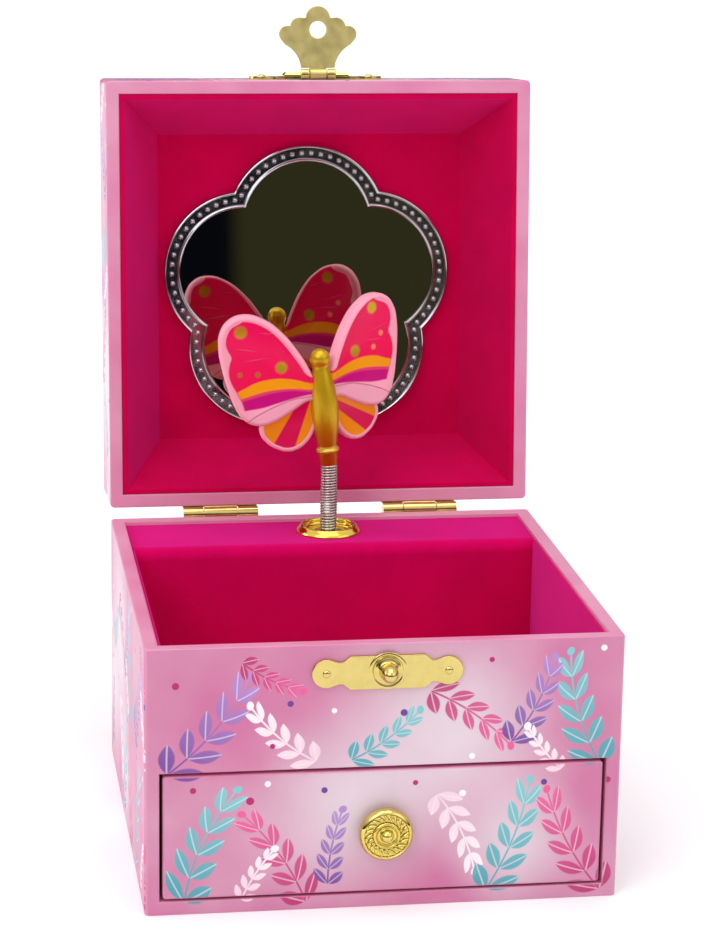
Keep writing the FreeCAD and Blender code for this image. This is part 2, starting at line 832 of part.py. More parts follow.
def figure_body_upright():
    """Foot, collar, torso, neck and ball head on one axis."""
    waist = foot_height + collar_height
    chest = waist + torso_height
    head = chest + neck_height + math.sqrt(head_radius ** 2 - neck_radius ** 2)
    thick = torso_radius - foot_top_radius
    torso = [(foot_top_radius + thick * math.sin(math.pi * share), waist + torso_height * share)
             for share in (0.0, 0.15, 0.3, 0.45, 0.6, 0.75, 0.88)]
    profile = [
        (0, 0), (foot_bottom_radius, 0), (foot_top_radius, foot_height), (collar_radius, foot_height),
        (collar_radius, waist), *torso, (neck_radius, chest), (neck_radius, chest + neck_height),
        *ball_bands(neck_radius, head_radius, head)[1:]]
    return turned(profile, V(0, 0, 0), V(0, 0, 1))


def shrunk(plan, centre, share):
    """The corners of an outline drawn in towards a centre."""
    return [tuple(c + (p - c) * share for p, c in zip(corner, centre)) for corner in plan]


def puffed(shares, centre_share, thickness):
    """A wing standing in XZ as a slab with a rounded rim, drawn in shares of its reach and height."""
    def sized(point):
        return max(point[0] * wing_reach, wing_root), point[1] * wing_height

    plan = []
    for step in shares:
        if isinstance(step[0], tuple):
            bend = Part.Arc(*(V(*p, 0) for p in (plan[-1], sized(step[0]), sized(step[1])))).toShape()
            plan += [(p.x, p.y) for p in bend.discretize(edge_parts + 1)[1:]]
        else:
            plan.append(sized(step))
    centre = sized(centre_share)
    reach = max(abs(x - centre[0]) for x, y in plan)
    lower = []
    for angle in (0, math.pi / 2):
        height = thickness / 2 - wing_edge_radius * (1 - math.cos(angle))
        lower.append((-height, 1 - wing_edge_radius * (1 - math.sin(angle)) / reach))
    wires = []
    for height, share in lower + [(-h, s) for h, s in reversed(lower)]:
        wire = outline(*shrunk(plan, centre, share)).OuterWire
        wire.translate(V(0, 0, height))
        wires.append(wire)
    slab = Part.makeLoft(wires, True, True)
    slab.rotate(V(0, 0, 0), V(1, 0, 0), 90)
    return slab


def right_wing_upright():
    """Fore wing and thinner hind wing, joined along their bands and seated on the torso."""
    fore = [(0, 0.300), (0, 0.577), (0.354, 0.863), ((0.520, 0.957), (0.720, 1.0)),
            ((0.929, 0.950), (1.0, 0.832)), ((0.980, 0.661), (0.909, 0.471)),
            ((0.843, 0.365), (0.685, 0.310)), (0.354, 0.349)]
    hind = [(0, 0.231), (0, 0.421), (0.591, 0.421), (0.669, 0.303),
            ((0.583, 0.173), (0.409, 0.123)), ((0.260, 0.142), (0.126, 0.231))]
    upper = puffed(fore, (0.472, 0.601), wing_thickness)
    lower = puffed(hind, (0.354, 0.313), wing_thickness - 2 * wing_step)
    slab = joined([upper, lower])
    slab.rotate(V(0, 0, 0), V(0, 0, 1), wing_sweep)
    return slab.cut(figure_body_upright())


# Musical movement

def tooth(root, tip, foot, length):
    """A straight tooth: its foot at the first height, its tip at the second, along X."""
    low, high = foot
    face = outline((-root / 2, low), (root / 2, low), (tip / 2, high), (-tip / 2, high))
    solid = face.extrude(V(0, 0, length))
    solid.translate(V(0, 0, -length / 2))
    solid.rotate(V(0, 0, 0), V(0, 1, 0), 90)
    return solid


def turned_about(shape, axis, angle):
    copy = shape.copy()
    copy.rotate(V(0, 0, 0), axis, angle)
    return copy


def gear_face(teeth, root, tip, root_width, tip_width, start):
    """Outline of a gear with straight flanks; start is the angle of its first tooth."""
    corners = []
    for i in range(teeth):
        angle = math.radians(start + 360 * i / teeth)
        for reach, side in ((root, -root_width), (tip, -tip_width), (tip, tip_width), (root, root_width)):
            corners.append((reach * math.cos(angle) - side / 2 * math.sin(angle),
                            reach * math.sin(angle) + side / 2 * math.cos(angle)))
    return outline(*corners)


def pinion():
    """Spur pinion about X, a tooth towards -Y."""
    face = gear_face(pinion_teeth, pinion_radius - tooth_dedendum, pinion_radius + tooth_addendum,
                     tooth_root, tooth_tip, -90)
    face.translate(V(0, 0, -pinion_width / 2))
    wheel = face.extrude(V(0, 0, pinion_width))
    wheel.rotate(V(0, 0, 0), V(0, 1, 0), 90)
    return wheel


def barrel():
    """Open drum with a crown of teeth on its back face, a gap at the top and at the side."""
    centre = V(0, 0, movement_height)
    front, back = V(0, drum_front, 0).add(centre), V(0, crown_base, 0).add(centre)
    drum = rod(drum_radius, front, back)
    cavity = rod(drum_radius - drum_wall, front, V(0, crown_base - drum_wall, 0).add(centre))
    crown_height = tooth_addendum + tooth_dedendum
    one = tooth(tooth_root, tooth_tip, (-tooth_tip, crown_height), crown_face_width)
    one.rotate(V(0, 0, 0), V(0, 1, 0), 90)
    one.translate(V(0, crown_base, crown_radius))
    pieces = [drum.cut(cavity)]
    for i in range(crown_teeth):
        copy = turned_about(one, V(0, 1, 0), 360 * (i + 0.5) / crown_teeth)
        copy.translate(centre)
        pieces.append(copy)
    bore = rod(arbor_radius + running_clearance, front, back)
    return joined(pieces).cut(bore)


def barrel_cap():
    start = V(0, drum_front, movement_height)
    end = start.add(V(0, drum_cap, 0))
    disc = rod(drum_radius - drum_wall - drum_cap_gap, start, end)
    return disc.cut(rod(arbor_radius + running_clearance, start, end))


def mainspring():
    """Wound strip of half circles, each a step wider than the last."""
    inner = arbor_radius + 2 * mainspring_side_gap
    outer = drum_radius - drum_wall - mainspring_side_gap - mainspring_strip
    halves = 2 * mainspring_turns
    step = (outer - inner) / halves
    edges = []
    for grow in (0, mainspring_strip):
        run = []
        for i in range(halves):
            side = 1 if i % 2 == 0 else -1
            centre = 0 if i % 2 == 0 else -step
            radius = inner + i * step + grow
            ends = [V(centre - side * radius, 0, 0), V(centre, side * radius, 0),
                    V(centre + side * radius, 0, 0)]
            run.append(Part.Arc(*ends).toShape())
        edges.append(run)
    first, second = edges
    caps = [Part.makeLine(first[0].Vertexes[0].Point, second[0].Vertexes[0].Point),
            Part.makeLine(first[-1].Vertexes[-1].Point, second[-1].Vertexes[-1].Point)]
    strip = Part.Face(Part.Wire(Part.__sortEdges__(first + second + caps)))
    low = drum_front + drum_cap + mainspring_side_gap
    high = crown_base - drum_wall - mainspring_side_gap
    solid = strip.extrude(V(0, 0, high - low))
    solid.rotate(V(0, 0, 0), V(1, 0, 0), -90)
    solid.translate(V(0, low, movement_height))
    return solid


def winding_arbor():
    """Shaft that the key turns, through the back board, the bedplate's boss and the barrel."""
    key_start = half_depth + key_stand_off
    return rod(arbor_radius, V(0, drum_front, movement_height), V(0, key_start, movement_height))


def winding_key():
    """Stem and a flat two-lobed grip."""
    start = half_depth + key_stand_off
    stem = rod(key_stem_radius, V(0, start, movement_height), V(0, start + key_stem_length, movement_height))
    half, tall = key_wing_width / 2, key_wing_height / 2
    waist = key_stem_radius
    lobe = half - tall
    out, up = waist + key_wing_flare, waist + key_wing_flare / 2
    grip = outline(
        (-waist, -waist), (waist, -waist), ((out, -up), (lobe, -tall)), ((half, 0), (lobe, tall)),
        ((out, up), (waist, waist)), (-waist, waist), ((-out, up), (-lobe, tall)),
        ((-half, 0), (-lobe, -tall)), ((-out, -up), (-waist, -waist)))
    solid = grip.extrude(V(0, 0, key_wing_thickness))
    for side in (-1, 1):
        solid = solid.cut(Part.makeCylinder(tall / 3, key_wing_thickness, V(side * lobe, 0, 0)))
    solid.translate(V(0, start + key_stem_length + waist - key_wing_sink,
                      movement_height - key_wing_thickness / 2))
    return joined([stem, solid])


def movement_plate():
    """Bedplate against the back board, with the arbor's boss and the ledge that carries the comb."""
    plate = block(-bed_left, bed_right, bed_front, inner_y, bed_bottom, bed_top)
    ledge = block(cylinder_left, cylinder_right, figure_y + comb_thickness, bed_front,
                  comb_low, comb_root - comb_post_depth)
    boss_front = crown_base + tooth_addendum + tooth_dedendum + bracket_gap
    boss = rod(arbor_boss_radius, V(0, boss_front, movement_height), V(0, inner_y, movement_height))
    bore = rod(arbor_radius + running_clearance, V(0, boss_front, movement_height),
               V(0, inner_y, movement_height))
    return joined([plate, ledge, boss]).cut(bore)


def comb_screw_spots():
    z = comb_low + (comb_back_height - comb_post_depth) / 2
    return [V(x, figure_y, z) for x in (cylinder_left + comb_screw_inset, cylinder_right - comb_screw_inset)]


def comb():
    """Steel comb: a plain back and one tooth for each note, its tips just short of the pins."""
    pitch = cylinder_length / comb_notes
    y0, y1 = figure_y, figure_y + comb_thickness
    pieces = [block(cylinder_left, cylinder_right, y0, y1, comb_low, comb_root)]
    for i in range(comb_notes):
        x0 = cylinder_left + pitch * (i + (1 - comb_tooth_share) / 2)
        pieces.append(block(x0, x0 + pitch * comb_tooth_share, y0, y1, comb_root, comb_tip))
    return joined(pieces)


def pinned_cylinder():
    """Arbor, drive pinion, pinned drum and worm wheel that turn as one."""
    end = wheel_right + bracket_gap + bracket_thickness
    arbor = rod(cylinder_arbor_radius, V(crown_radius - pinion_width / 2, 0, 0), V(end, 0, 0))
    gear = pinion()
    gear.translate(V(crown_radius, 0, 0))
    drum = rod(cylinder_radius, V(cylinder_left, 0, 0), V(cylinder_right, 0, 0))
    pieces = [arbor, gear, drum, worm_wheel()]
    pitch = cylinder_length / comb_notes
    golden = 180 * (3 - math.sqrt(5))
    for i in range(comb_notes):
        x = cylinder_left + pitch * (i + 0.5)
        half = cylinder_pin_width / 2
        pin = block(x - half, x + half, -half, half, cylinder_radius - cylinder_pin_height, pin_reach)
        pieces.append(turned_about(pin, V(1, 0, 0), golden * i))
    solid = joined(pieces)
    solid.translate(V(0, figure_y, movement_height))
    return solid


def worm_wheel():
    """Wheel about X whose teeth lean with the worm's thread, a gap towards -Y."""
    root = wheel_radius - worm_wheel_dedendum
    tip = wheel_radius + worm_wheel_addendum
    lean = math.degrees(worm_wheel_width / 2 * worm_module / (2 * worm_pitch_radius) / wheel_radius)
    wires = []
    for side in (-1, 1):
        wire = gear_face(worm_wheel_teeth, root, tip, worm_thread_root, worm_thread_tip,
                         -90 + 180 / worm_wheel_teeth + side * lean).OuterWire
        wire.translate(V(0, 0, side * worm_wheel_width / 2))
        wires.append(wire)
    wheel = Part.makeLoft(wires, True, True)
    wheel.rotate(V(0, 0, 0), V(0, 1, 0), 90)
    wheel.translate(V(worm_x, 0, 0))
    return wheel


def governor():
    """Upright worm and air-brake fan on one pivot."""
    pitch = math.pi * worm_module
    core = worm_core_radius
    low, high = governor_arms()
    thread_low = movement_height - worm_length / 2
    thread_high = thread_low + worm_length
    helix = Part.makeHelix(pitch, worm_length, core)
    half_root, half_tip = worm_thread_root / 2, worm_thread_tip / 2
    inside = core - worm_thread_sink
    section = Part.makePolygon([V(inside, 0, -half_root), V(worm_outer_radius, 0, -half_tip),
                                V(worm_outer_radius, 0, half_tip), V(inside, 0, half_root),
                                V(inside, 0, -half_root)])
    thread = Part.Wire(helix).makePipeShell([section], True, True)
    thread.rotate(V(0, 0, 0), V(0, 0, 1), 90 - 180 * worm_length / pitch)
    thread.translate(V(0, 0, thread_low))
    shaft = rod(worm_pivot_radius, V(0, 0, low), V(0, 0, high))
    body = rod(core, V(0, 0, thread_low - half_root), V(0, 0, thread_high + half_root))
    fan_low = movement_height + pin_reach + fan_gap
    fan = block(-fan_radius, fan_radius, -fan_thickness / 2, fan_thickness / 2, fan_low, fan_low + fan_height)
    solid = joined([body.fuse(thread), shaft, fan])
    solid.translate(V(worm_x, worm_y, 0))
    return solid


def governor_arms():
    """Outer faces of the two arms that hold the worm's pivots."""
    low = movement_height - wheel_radius - worm_pitch_radius - governor_arm_thickness
    high = movement_height + pin_reach + 2 * fan_gap + fan_height + governor_arm_thickness
    return low, high


def governor_bracket():
    """C-shaped bracket from the bedplate round the worm wheel."""
    low, high = governor_arms()
    half = governor_arm_width / 2
    nose = worm_y - half
    t = governor_arm_thickness
    pieces = [
        block(worm_x - half, worm_x + half, nose, bed_front, low, low + t),
        block(worm_x - half, worm_x + half, nose, bed_front, high - t, high),
        block(worm_x - half, worm_x + half, bed_front - bed_thickness / 2, bed_front, low, high),
    ]
    pivot = rod(worm_pivot_radius + running_clearance, V(worm_x, worm_y, low), V(worm_x, worm_y, high))
    return joined(pieces).cut(pivot)


def cylinder_bracket(x0):
    """Bearing plate for one end of the cylinder's arbor."""
    half = bracket_height / 2
    nose = figure_y - half
    plate = block(x0, x0 + bracket_thickness, nose, bed_front, movement_height - half, movement_height + half)
    ends = [e for e in plate.Edges if abs(e.CenterOfMass.y - nose) < 1e-6
            and abs(e.tangentAt(e.FirstParameter).x) > 0.5]
    plate = plate.makeFillet(half * bracket_nose_share, ends)
    bore = rod(cylinder_arbor_radius + running_clearance, V(x0, figure_y, movement_height),
               V(x0 + bracket_thickness, figure_y, movement_height))
    return plate.cut(bore)


def spindle_arms():
    """Heights of the lower and upper bearing arms of the spindle, clear of its pinion."""
    middle = movement_height + crown_radius
    low = middle - pinion_width / 2 - bracket_gap - bracket_thickness
    high = middle + pinion_width / 2 + bracket_gap
    return low, high


def spindle_bracket():
    """Two arms from the bedplate that carry the spindle."""
    low, high = spindle_arms()
    half = bracket_height / 2
    nose = figure_y - spindle_radius - bracket_thickness / 2
    t = bracket_thickness
    pieces = [
        block(-half, half, nose, bed_front, low, low + t),
        block(-half, half, nose, bed_front, high, high + t),
        block(-half, half, bed_front - t, bed_front, low, high + t),
    ]
    bore = rod(spindle_radius + running_clearance, V(0, figure_y, low), V(0, figure_y, high + t))
    return joined(pieces).cut(bore)


def spindle():
    """Upright shaft: pinion below, hub and post for the spring above."""
    low, high = spindle_arms()
    gear = pinion()
    gear.rotate(V(0, 0, 0), V(0, 1, 0), 90)
    gear.translate(V(0, 0, movement_height + crown_radius))
    pieces = [
        gear,
        rod(spindle_radius, V(0, 0, low), V(0, 0, hub_top - spindle_hub_height)),
        rod(spindle_hub_radius, V(0, 0, hub_top - spindle_hub_height), V(0, 0, hub_top)),
        rod(spindle_post_radius, V(0, 0, hub_top), V(0, 0, hub_top + spindle_post_height)),
    ]
    solid = joined(pieces)
    solid.translate(V(0, figure_y, 0))
    return solid


def build():
    nodes = case_boards()
    nodes["movement_cover"] = movement_cover()
    nodes["tray_lining"] = tray_lining()
    nodes["figure_ring"] = figure_ring()
    nodes["catch_plate"] = catch_plate()
    nodes["catch_stud"] = catch_stud()
    nodes["catch_nails"] = nail_heads(plate_nail_spots(catch_z - catch_plate_drop), FORWARD)
    nodes["hinge_pins"] = hinge_pins()
    nodes["hinge_box_nails"] = nail_heads(hinge_nail_spots(BOX_NAIL_Z), BACKWARD)

    lid = lid_boards()
    lid["lid_lining"] = lid_lining()
    lid["mirror_frame"] = mirror_frame()
    lid["mirror_glass"] = mirror_glass()
    lid["hasp_leaf"] = hasp_leaf()
    lid["hasp_nails"] = nail_heads(plate_nail_spots(HASP_LEAF_Z), FORWARD)
    lid["hasp_pin"] = hasp_pin()
    lid["hasp_flap"] = hasp_flap()
    lid["hinge_lid_nails"] = nail_heads(hinge_nail_spots(LID_NAIL_Z), BACKWARD)
    for side, x in (("left", -hinge_offset), ("right", hinge_offset)):
        nodes[side + "_hinge_box_leaf"] = hinge_leaf(x, False)
        lid[side + "_hinge_lid_leaf"] = hinge_leaf(x, True)
    nodes.update({name: opened(shape) for name, shape in lid.items()})

    nodes.update(drawer_boards())
    nodes["drawer_knob"] = drawer_knob()
    nodes["drawer_knob_screw"] = screw_heads([V(0, -inner_y, knob_height)], BACKWARD)

    nodes["pop_up_spring"] = pop_up_spring()
    nodes["figure_body"] = leaning(figure_body_upright())
    wing = right_wing_upright()
    nodes["right_wing"] = leaning(wing)
    nodes["left_wing"] = leaning(wing.mirror(V(0, 0, 0), V(1, 0, 0)))

    nodes["movement_plate"] = movement_plate()
    nodes["movement_screws"] = screw_heads(bed_screw_spots(), FORWARD)
    nodes["barrel"] = barrel()
    nodes["barrel_cap"] = barrel_cap()
    nodes["mainspring"] = mainspring()
    nodes["winding_arbor"] = winding_arbor()
    nodes["winding_key"] = winding_key()
    nodes["pinned_cylinder"] = pinned_cylinder()
    nodes["comb"] = comb()
    nodes["comb_screws"] = screw_heads(comb_screw_spots(), FORWARD)
    nodes["left_cylinder_bracket"] = cylinder_bracket(cylinder_left - bracket_gap - bracket_thickness)
    nodes["right_cylinder_bracket"] = cylinder_bracket(wheel_right + bracket_gap)
    nodes["governor"] = governor()
    nodes["governor_bracket"] = governor_bracket()
    nodes["spindle"] = spindle()
    nodes["spindle_bracket"] = spindle_bracket()
    return nodes


def main():
    os.makedirs("parts", exist_ok=True)
    for name, shape in build().items():
        shape.exportStep("parts/%s.step" % name)


main()
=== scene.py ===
import math

import bmesh
import bpy
from mathutils import Matrix, Vector


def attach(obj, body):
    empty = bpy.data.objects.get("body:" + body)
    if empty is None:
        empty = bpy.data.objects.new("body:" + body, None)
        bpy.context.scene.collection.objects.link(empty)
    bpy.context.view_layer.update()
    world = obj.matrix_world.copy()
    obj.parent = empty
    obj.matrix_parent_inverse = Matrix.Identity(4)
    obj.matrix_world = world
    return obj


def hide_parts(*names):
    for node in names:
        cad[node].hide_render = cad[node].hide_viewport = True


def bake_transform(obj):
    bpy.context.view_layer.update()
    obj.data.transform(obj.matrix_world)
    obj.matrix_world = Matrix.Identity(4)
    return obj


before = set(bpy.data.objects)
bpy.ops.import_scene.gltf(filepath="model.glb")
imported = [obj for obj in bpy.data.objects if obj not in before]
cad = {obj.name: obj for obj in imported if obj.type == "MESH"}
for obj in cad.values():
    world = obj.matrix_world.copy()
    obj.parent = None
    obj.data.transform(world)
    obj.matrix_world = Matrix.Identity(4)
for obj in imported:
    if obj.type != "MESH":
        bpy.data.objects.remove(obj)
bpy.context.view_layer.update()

mm = 0.001

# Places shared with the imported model, in millimetres and degrees
LID_OPEN = 95.4
HINGE = (0.0, 57.0, 63.85)
FOOT = (0.0, 42.0, 80.0)
FIGURE_LEAN = 5.66
FIGURE_SPIN = 15.46
WING_SWEEP = 16.36
SHELF_TOP = 62.7
SPRING_LOW = 62.9
KNOB = (0.0, -55.0, 18.7)
CATCH = (0.0, -55.8, 57.4)
HASP_AXIS = (0.0, -56.5, 68.7)
MIRROR_BACK = 84.6
MIRROR_MIDDLE = (-1.0, 1.2)
LOBES = 5
LOBE_RADIUS = 21.2
LOBE_DISTANCE = 17.6


def rgb(code):
    """A screen colour as the linear colour that shaders take."""
    parts = [int(code[i:i + 2], 16) / 255 for i in (0, 2, 4)]
    return tuple(c / 12.92 if c <= 0.04045 else ((c + 0.055) / 1.055) ** 2.4 for c in parts) + (1.0,)


# Modelling

SHARP = math.radians(40)
FLAT = math.radians(0.5)
WELD = 0.002
FACING = 0.9


def deselect():
    bpy.ops.object.select_all(action="DESELECT")


def take(piece):
    """Make one piece the only selected and active one."""
    deselect()
    piece.select_set(True)
    bpy.context.view_layer.objects.active = piece
    return piece


def edit(piece):
    take(piece)
    bpy.ops.object.mode_set(mode="EDIT")
    bpy.ops.mesh.select_all(action="SELECT")


def leave():
    bpy.ops.mesh.select_mode(type="VERT")
    bpy.ops.object.mode_set(mode="OBJECT")
    return bpy.context.object


def pick(piece, kind, test):
    """Edit a piece with only those faces or edges selected that pass a test."""
    edit(piece)
    bpy.ops.mesh.select_mode(type=kind)
    bpy.ops.mesh.select_all(action="DESELECT")
    cage = bmesh.from_edit_mesh(piece.data)
    for part in cage.faces if kind == "FACE" else cage.edges:
        part.select_set(test(part))
    bmesh.update_edit_mesh(piece.data)


def extrude(x, y, z):
    bpy.ops.mesh.extrude_region_move(TRANSFORM_OT_translate={"value": (x * mm, y * mm, z * mm)})


def weld(reach=WELD):
    """Merge corners that lie together and turn all faces outward."""
    bpy.ops.mesh.select_all(action="SELECT")
    bpy.ops.mesh.remove_doubles(threshold=reach * mm)
    bpy.ops.mesh.normals_make_consistent(inside=False)


def flatten(reach=WELD):
    """Merge corners that lie together and make each flat face whole again."""
    bpy.ops.mesh.select_all(action="SELECT")
    bpy.ops.mesh.remove_doubles(threshold=reach * mm)
    bpy.ops.mesh.dissolve_limited(angle_limit=FLAT)
    return leave()


def apply(piece, modifier):
    take(piece)
    bpy.ops.object.modifier_apply(modifier=modifier.name)


def soften(piece, width, segments=2, angle=35):
    bevel = piece.modifiers.new("soft edges", "BEVEL")
    bevel.width = width * mm
    bevel.segments = segments
    bevel.limit_method = "ANGLE"
    bevel.angle_limit = math.radians(angle)
    bevel.use_clamp_overlap = True
    apply(piece, bevel)
    return piece


def soften_where(piece, width, segments, where):
    """Round the sharp edges whose middles lie where asked, in millimetres."""
    def chosen(edge):
        sharp = edge.is_manifold and edge.calc_face_angle() > SHARP
        return sharp and where((edge.verts[0].co + edge.verts[1].co) / 2 / mm)

    pick(piece, "EDGE", chosen)
    bpy.ops.mesh.bevel(offset=width * mm, segments=segments, affect="EDGES", clamp_overlap=False)
    return leave()


def place(piece, matrix):
    """Put a piece that was modelled at the origin into its place and bake that into its mesh."""
    take(piece)
    piece.matrix_world = matrix
    bpy.ops.object.transform_apply(location=True, rotation=True, scale=True)
    return piece


def at(x, y, z):
    return Matrix.Translation(Vector((x, y, z)) * mm)


def turn(degrees, axis):
    return Matrix.Rotation(math.radians(degrees), 4, axis)


LID_SWING = at(*HINGE) @ turn(-LID_OPEN, "X") @ at(*(-c for c in HINGE))
FIGURE_PLACE = at(*FOOT) @ turn(-FIGURE_LEAN, "Y") @ turn(FIGURE_SPIN, "Z")
FACING_FRONT = turn(90, "X")
FACING_BACK = turn(-90, "X")


def draw(points, closed):
    """Start from a plane merged to one vertex and extrude it along points in the XZ plane."""
    deselect()
    bpy.ops.mesh.primitive_plane_add(size=mm, location=(0, 0, 0))
    bpy.ops.object.mode_set(mode="EDIT")
    bpy.ops.mesh.select_all(action="SELECT")
    bpy.ops.mesh.merge(type="CENTER")
    x0, z0 = points[0]
    bpy.ops.transform.translate(value=(x0 * mm, 0, z0 * mm))
    for (xa, za), (xb, zb) in zip(points, points[1:]):
        bpy.ops.mesh.extrude_vertices_move(
            TRANSFORM_OT_translate={"value": ((xb - xa) * mm, 0, (zb - za) * mm)})
    bpy.ops.mesh.select_all(action="SELECT")
    if closed:
        bpy.ops.mesh.edge_face_add()


def arc(x, z, radius, start, end, steps):
    angles = [math.radians(start + (end - start) * i / steps) for i in range(steps + 1)]
    return [(x + radius * math.cos(a), z + radius * math.sin(a)) for a in angles]


def spin(steps, x=0.0):
    """Carry the drawn section once round an upright axis."""
    bpy.ops.mesh.spin(steps=steps, angle=2 * math.pi, center=(x * mm, 0, 0), axis=(0, 0, 1),
                      use_auto_merge=True)
    weld()


def turned(section, steps=64):
    """Spin half a section, radius against height, about Z."""
    draw(section, False)
    spin(steps)
    return leave()


def copy_of(node):
    """A merged copy of a CAD node, with the flat faces whole again."""
    piece = bpy.data.objects.new(node + "_finish", cad[node].data.copy())
    bpy.context.scene.collection.objects.link(piece)
    piece.data.materials.clear()
    for corner in piece.data.vertices:
        corner.co = [round(c, 6) for c in corner.co]
    edit(piece)
    return flatten(0.001)


def edged(node, width, segments=2):
    return soften(copy_of(node), width, segments)


def joined(pieces):
    deselect()
    for piece in pieces:
        piece.select_set(True)
    bpy.context.view_layer.objects.active = pieces[0]
    bpy.ops.object.join()
    return bpy.context.object


def combine(whole, other, operation):
    """Unite a piece with another, or take the other out of it."""
    step = whole.modifiers.new("combine", "BOOLEAN")
    step.operation = operation
    step.solver = "EXACT"
    step.object = other
    apply(whole, step)
    bpy.data.objects.remove(other)


def fused(pieces):
    """Pieces united into one, with no seam left between them."""
    whole = pieces[0]
    for other in pieces[1:]:
        combine(whole, other, "UNION")
    edit(whole)
    return flatten()


def melded(piece):
    """Cards that touch inside one node: united with themselves into one skin."""
    edit(piece)
    bpy.ops.mesh.intersect_boolean(operation="UNION", use_self=True, solver="EXACT")
    return flatten()


def block(low, high):
    """A cube brought to two corners, in millimetres."""
    deselect()
    bpy.ops.mesh.primitive_cube_add(size=1)
    middle = (low + high) / 2 * mm
    return place(bpy.context.object, Matrix.Translation(middle) @ Matrix.Diagonal((*((high - low) * mm), 1)))


def again(piece):
    """A copy of a finished shape with its own mesh."""
    twin = piece.copy()
    twin.data = piece.data.copy()
    bpy.context.scene.collection.objects.link(twin)
    return twin


def named(piece, name, smooth):
    take(piece)
    bpy.ops.object.shade_smooth_by_angle(angle=math.radians(smooth))
    piece.name = name
    piece.data.name = name


def dress(piece, look):
    piece.data.materials.clear()
    piece.data.materials.append(look)


def finish(piece, name, body, look, stands_for, smooth=40):
    named(piece, name, smooth)
    level = piece.modifiers.new("flat faces", "WEIGHTED_NORMAL")
    level.keep_sharp = True
    apply(piece, level)
    dress(piece, look)
    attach(piece, body)
    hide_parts(*stands_for)


# Shader building

ORIGIN = (0.0, 0.0, 0.0)


class Nodes:
    """A node tree, with short words for the nodes that the finishes use most."""

    def __init__(self, tree):
        self.tree = tree

    def fill(self, socket, value):
        """Link a socket to another node's output, or set its value."""
        if isinstance(value, bpy.types.NodeSocket):
            self.tree.links.new(value, socket)
        else:
            socket.default_value = value

    def add(self, kind, *values, **settings):
        """A node with its own settings, its inputs filled in order."""
        made = self.tree.nodes.new("ShaderNode" + kind)
        for key, value in settings.items():
            setattr(made, key, value)
        sockets = [s for s in made.inputs if s.enabled and not s.is_unavailable]
        for socket, value in zip(sockets, values):
            self.fill(socket, value)
        return made

    def fed(self, made, **values):
        """A node's outputs, once its inputs are filled by name."""
        for label, value in values.items():
            self.fill(made.inputs[label.replace("_", " ")], value)
        return made.outputs

    def use(self, shared, **values):
        return self.fed(self.add("Group", node_tree=shared), **values)

    def calc(self, operation, *values, clamp=False):
        return self.add("Math", *values, operation=operation, use_clamp=clamp).outputs[0]

    def times(self, first, second):
        return self.calc("MULTIPLY", first, second)

    def plus(self, first, second):
        return self.calc("ADD", first, second)

    def minus(self, first, second):
        return self.calc("SUBTRACT", first, second)

    def over(self, first, second):
        return self.calc("DIVIDE", first, second)

    def most(self, first, second):
        return self.calc("MAXIMUM", first, second)

    def unsigned(self, value):
        return self.calc("ABSOLUTE", value)

    def mask(self, value, sharpness):
        """A mask that grows from 0 as the value does, up to 1."""
        return self.calc("MULTIPLY", value, sharpness, clamp=True)

    def graded(self, value, low, high, to_low=0.0, to_high=1.0):
        """A value brought from one range to another and held at its ends."""
        return self.add("MapRange", value, low, high, to_low, to_high, clamp=True).outputs[0]

    def vector(self, operation, *values):
        made = self.add("VectorMath", *values, operation=operation)
        return made.outputs["Value" if operation in ("LENGTH", "DOT_PRODUCT") else "Vector"]

    def split(self, vector):
        return self.add("SeparateXYZ", vector).outputs

    def point(self, x, y):
        return self.add("CombineXYZ", x, y, 0.0).outputs[0]

    def spun(self, vector, angle):
        return self.fed(self.add("VectorRotate", rotation_type="Z_AXIS"), Vector=vector, Angle=angle)[0]

    def mix(self, factor, first, second, blend="MIX"):
        return self.add("Mix", factor, first, second, data_type="RGBA", blend_type=blend).outputs[2]

    def grey(self, tone):
        return self.add("CombineColor", tone, tone, tone).outputs[0]

    def toned(self, colour, tone, share=1.0):
        return self.mix(share, colour, self.grey(tone), "MULTIPLY")

    def noise(self, spot, scale, detail=2.0, roughness=0.5):
        made = self.add("TexNoise")
        return self.fed(made, Vector=spot, Scale=scale, Detail=detail, Roughness=roughness)[0]

    def bump(self, height, depth, strength=1.0):
        return self.fed(self.add("Bump"), Height=height, Distance=depth * mm, Strength=strength)[0]


class Group(Nodes):
    """A shader group. Each input's name comes with its value, a number or a place."""

    def __init__(self, name, inputs, outputs):
        super().__init__(bpy.data.node_groups.new(name, "ShaderNodeTree"))
        sockets = self.tree.interface
        for label, value in inputs.items():
            kind = "NodeSocketVector" if value is ORIGIN else "NodeSocketFloat"
            sockets.new_socket(label, in_out="INPUT", socket_type=kind).default_value = value
        for label in outputs:
            kind = "NodeSocketColor" if label == "Colour" else "NodeSocketFloat"
            sockets.new_socket(label, in_out="OUTPUT", socket_type=kind)
        self.given = self.tree.nodes.new("NodeGroupInput").outputs
        self.out = self.tree.nodes.new("NodeGroupOutput")

    def give(self, **results):
        self.fed(self.out, **results)
        return self.tree


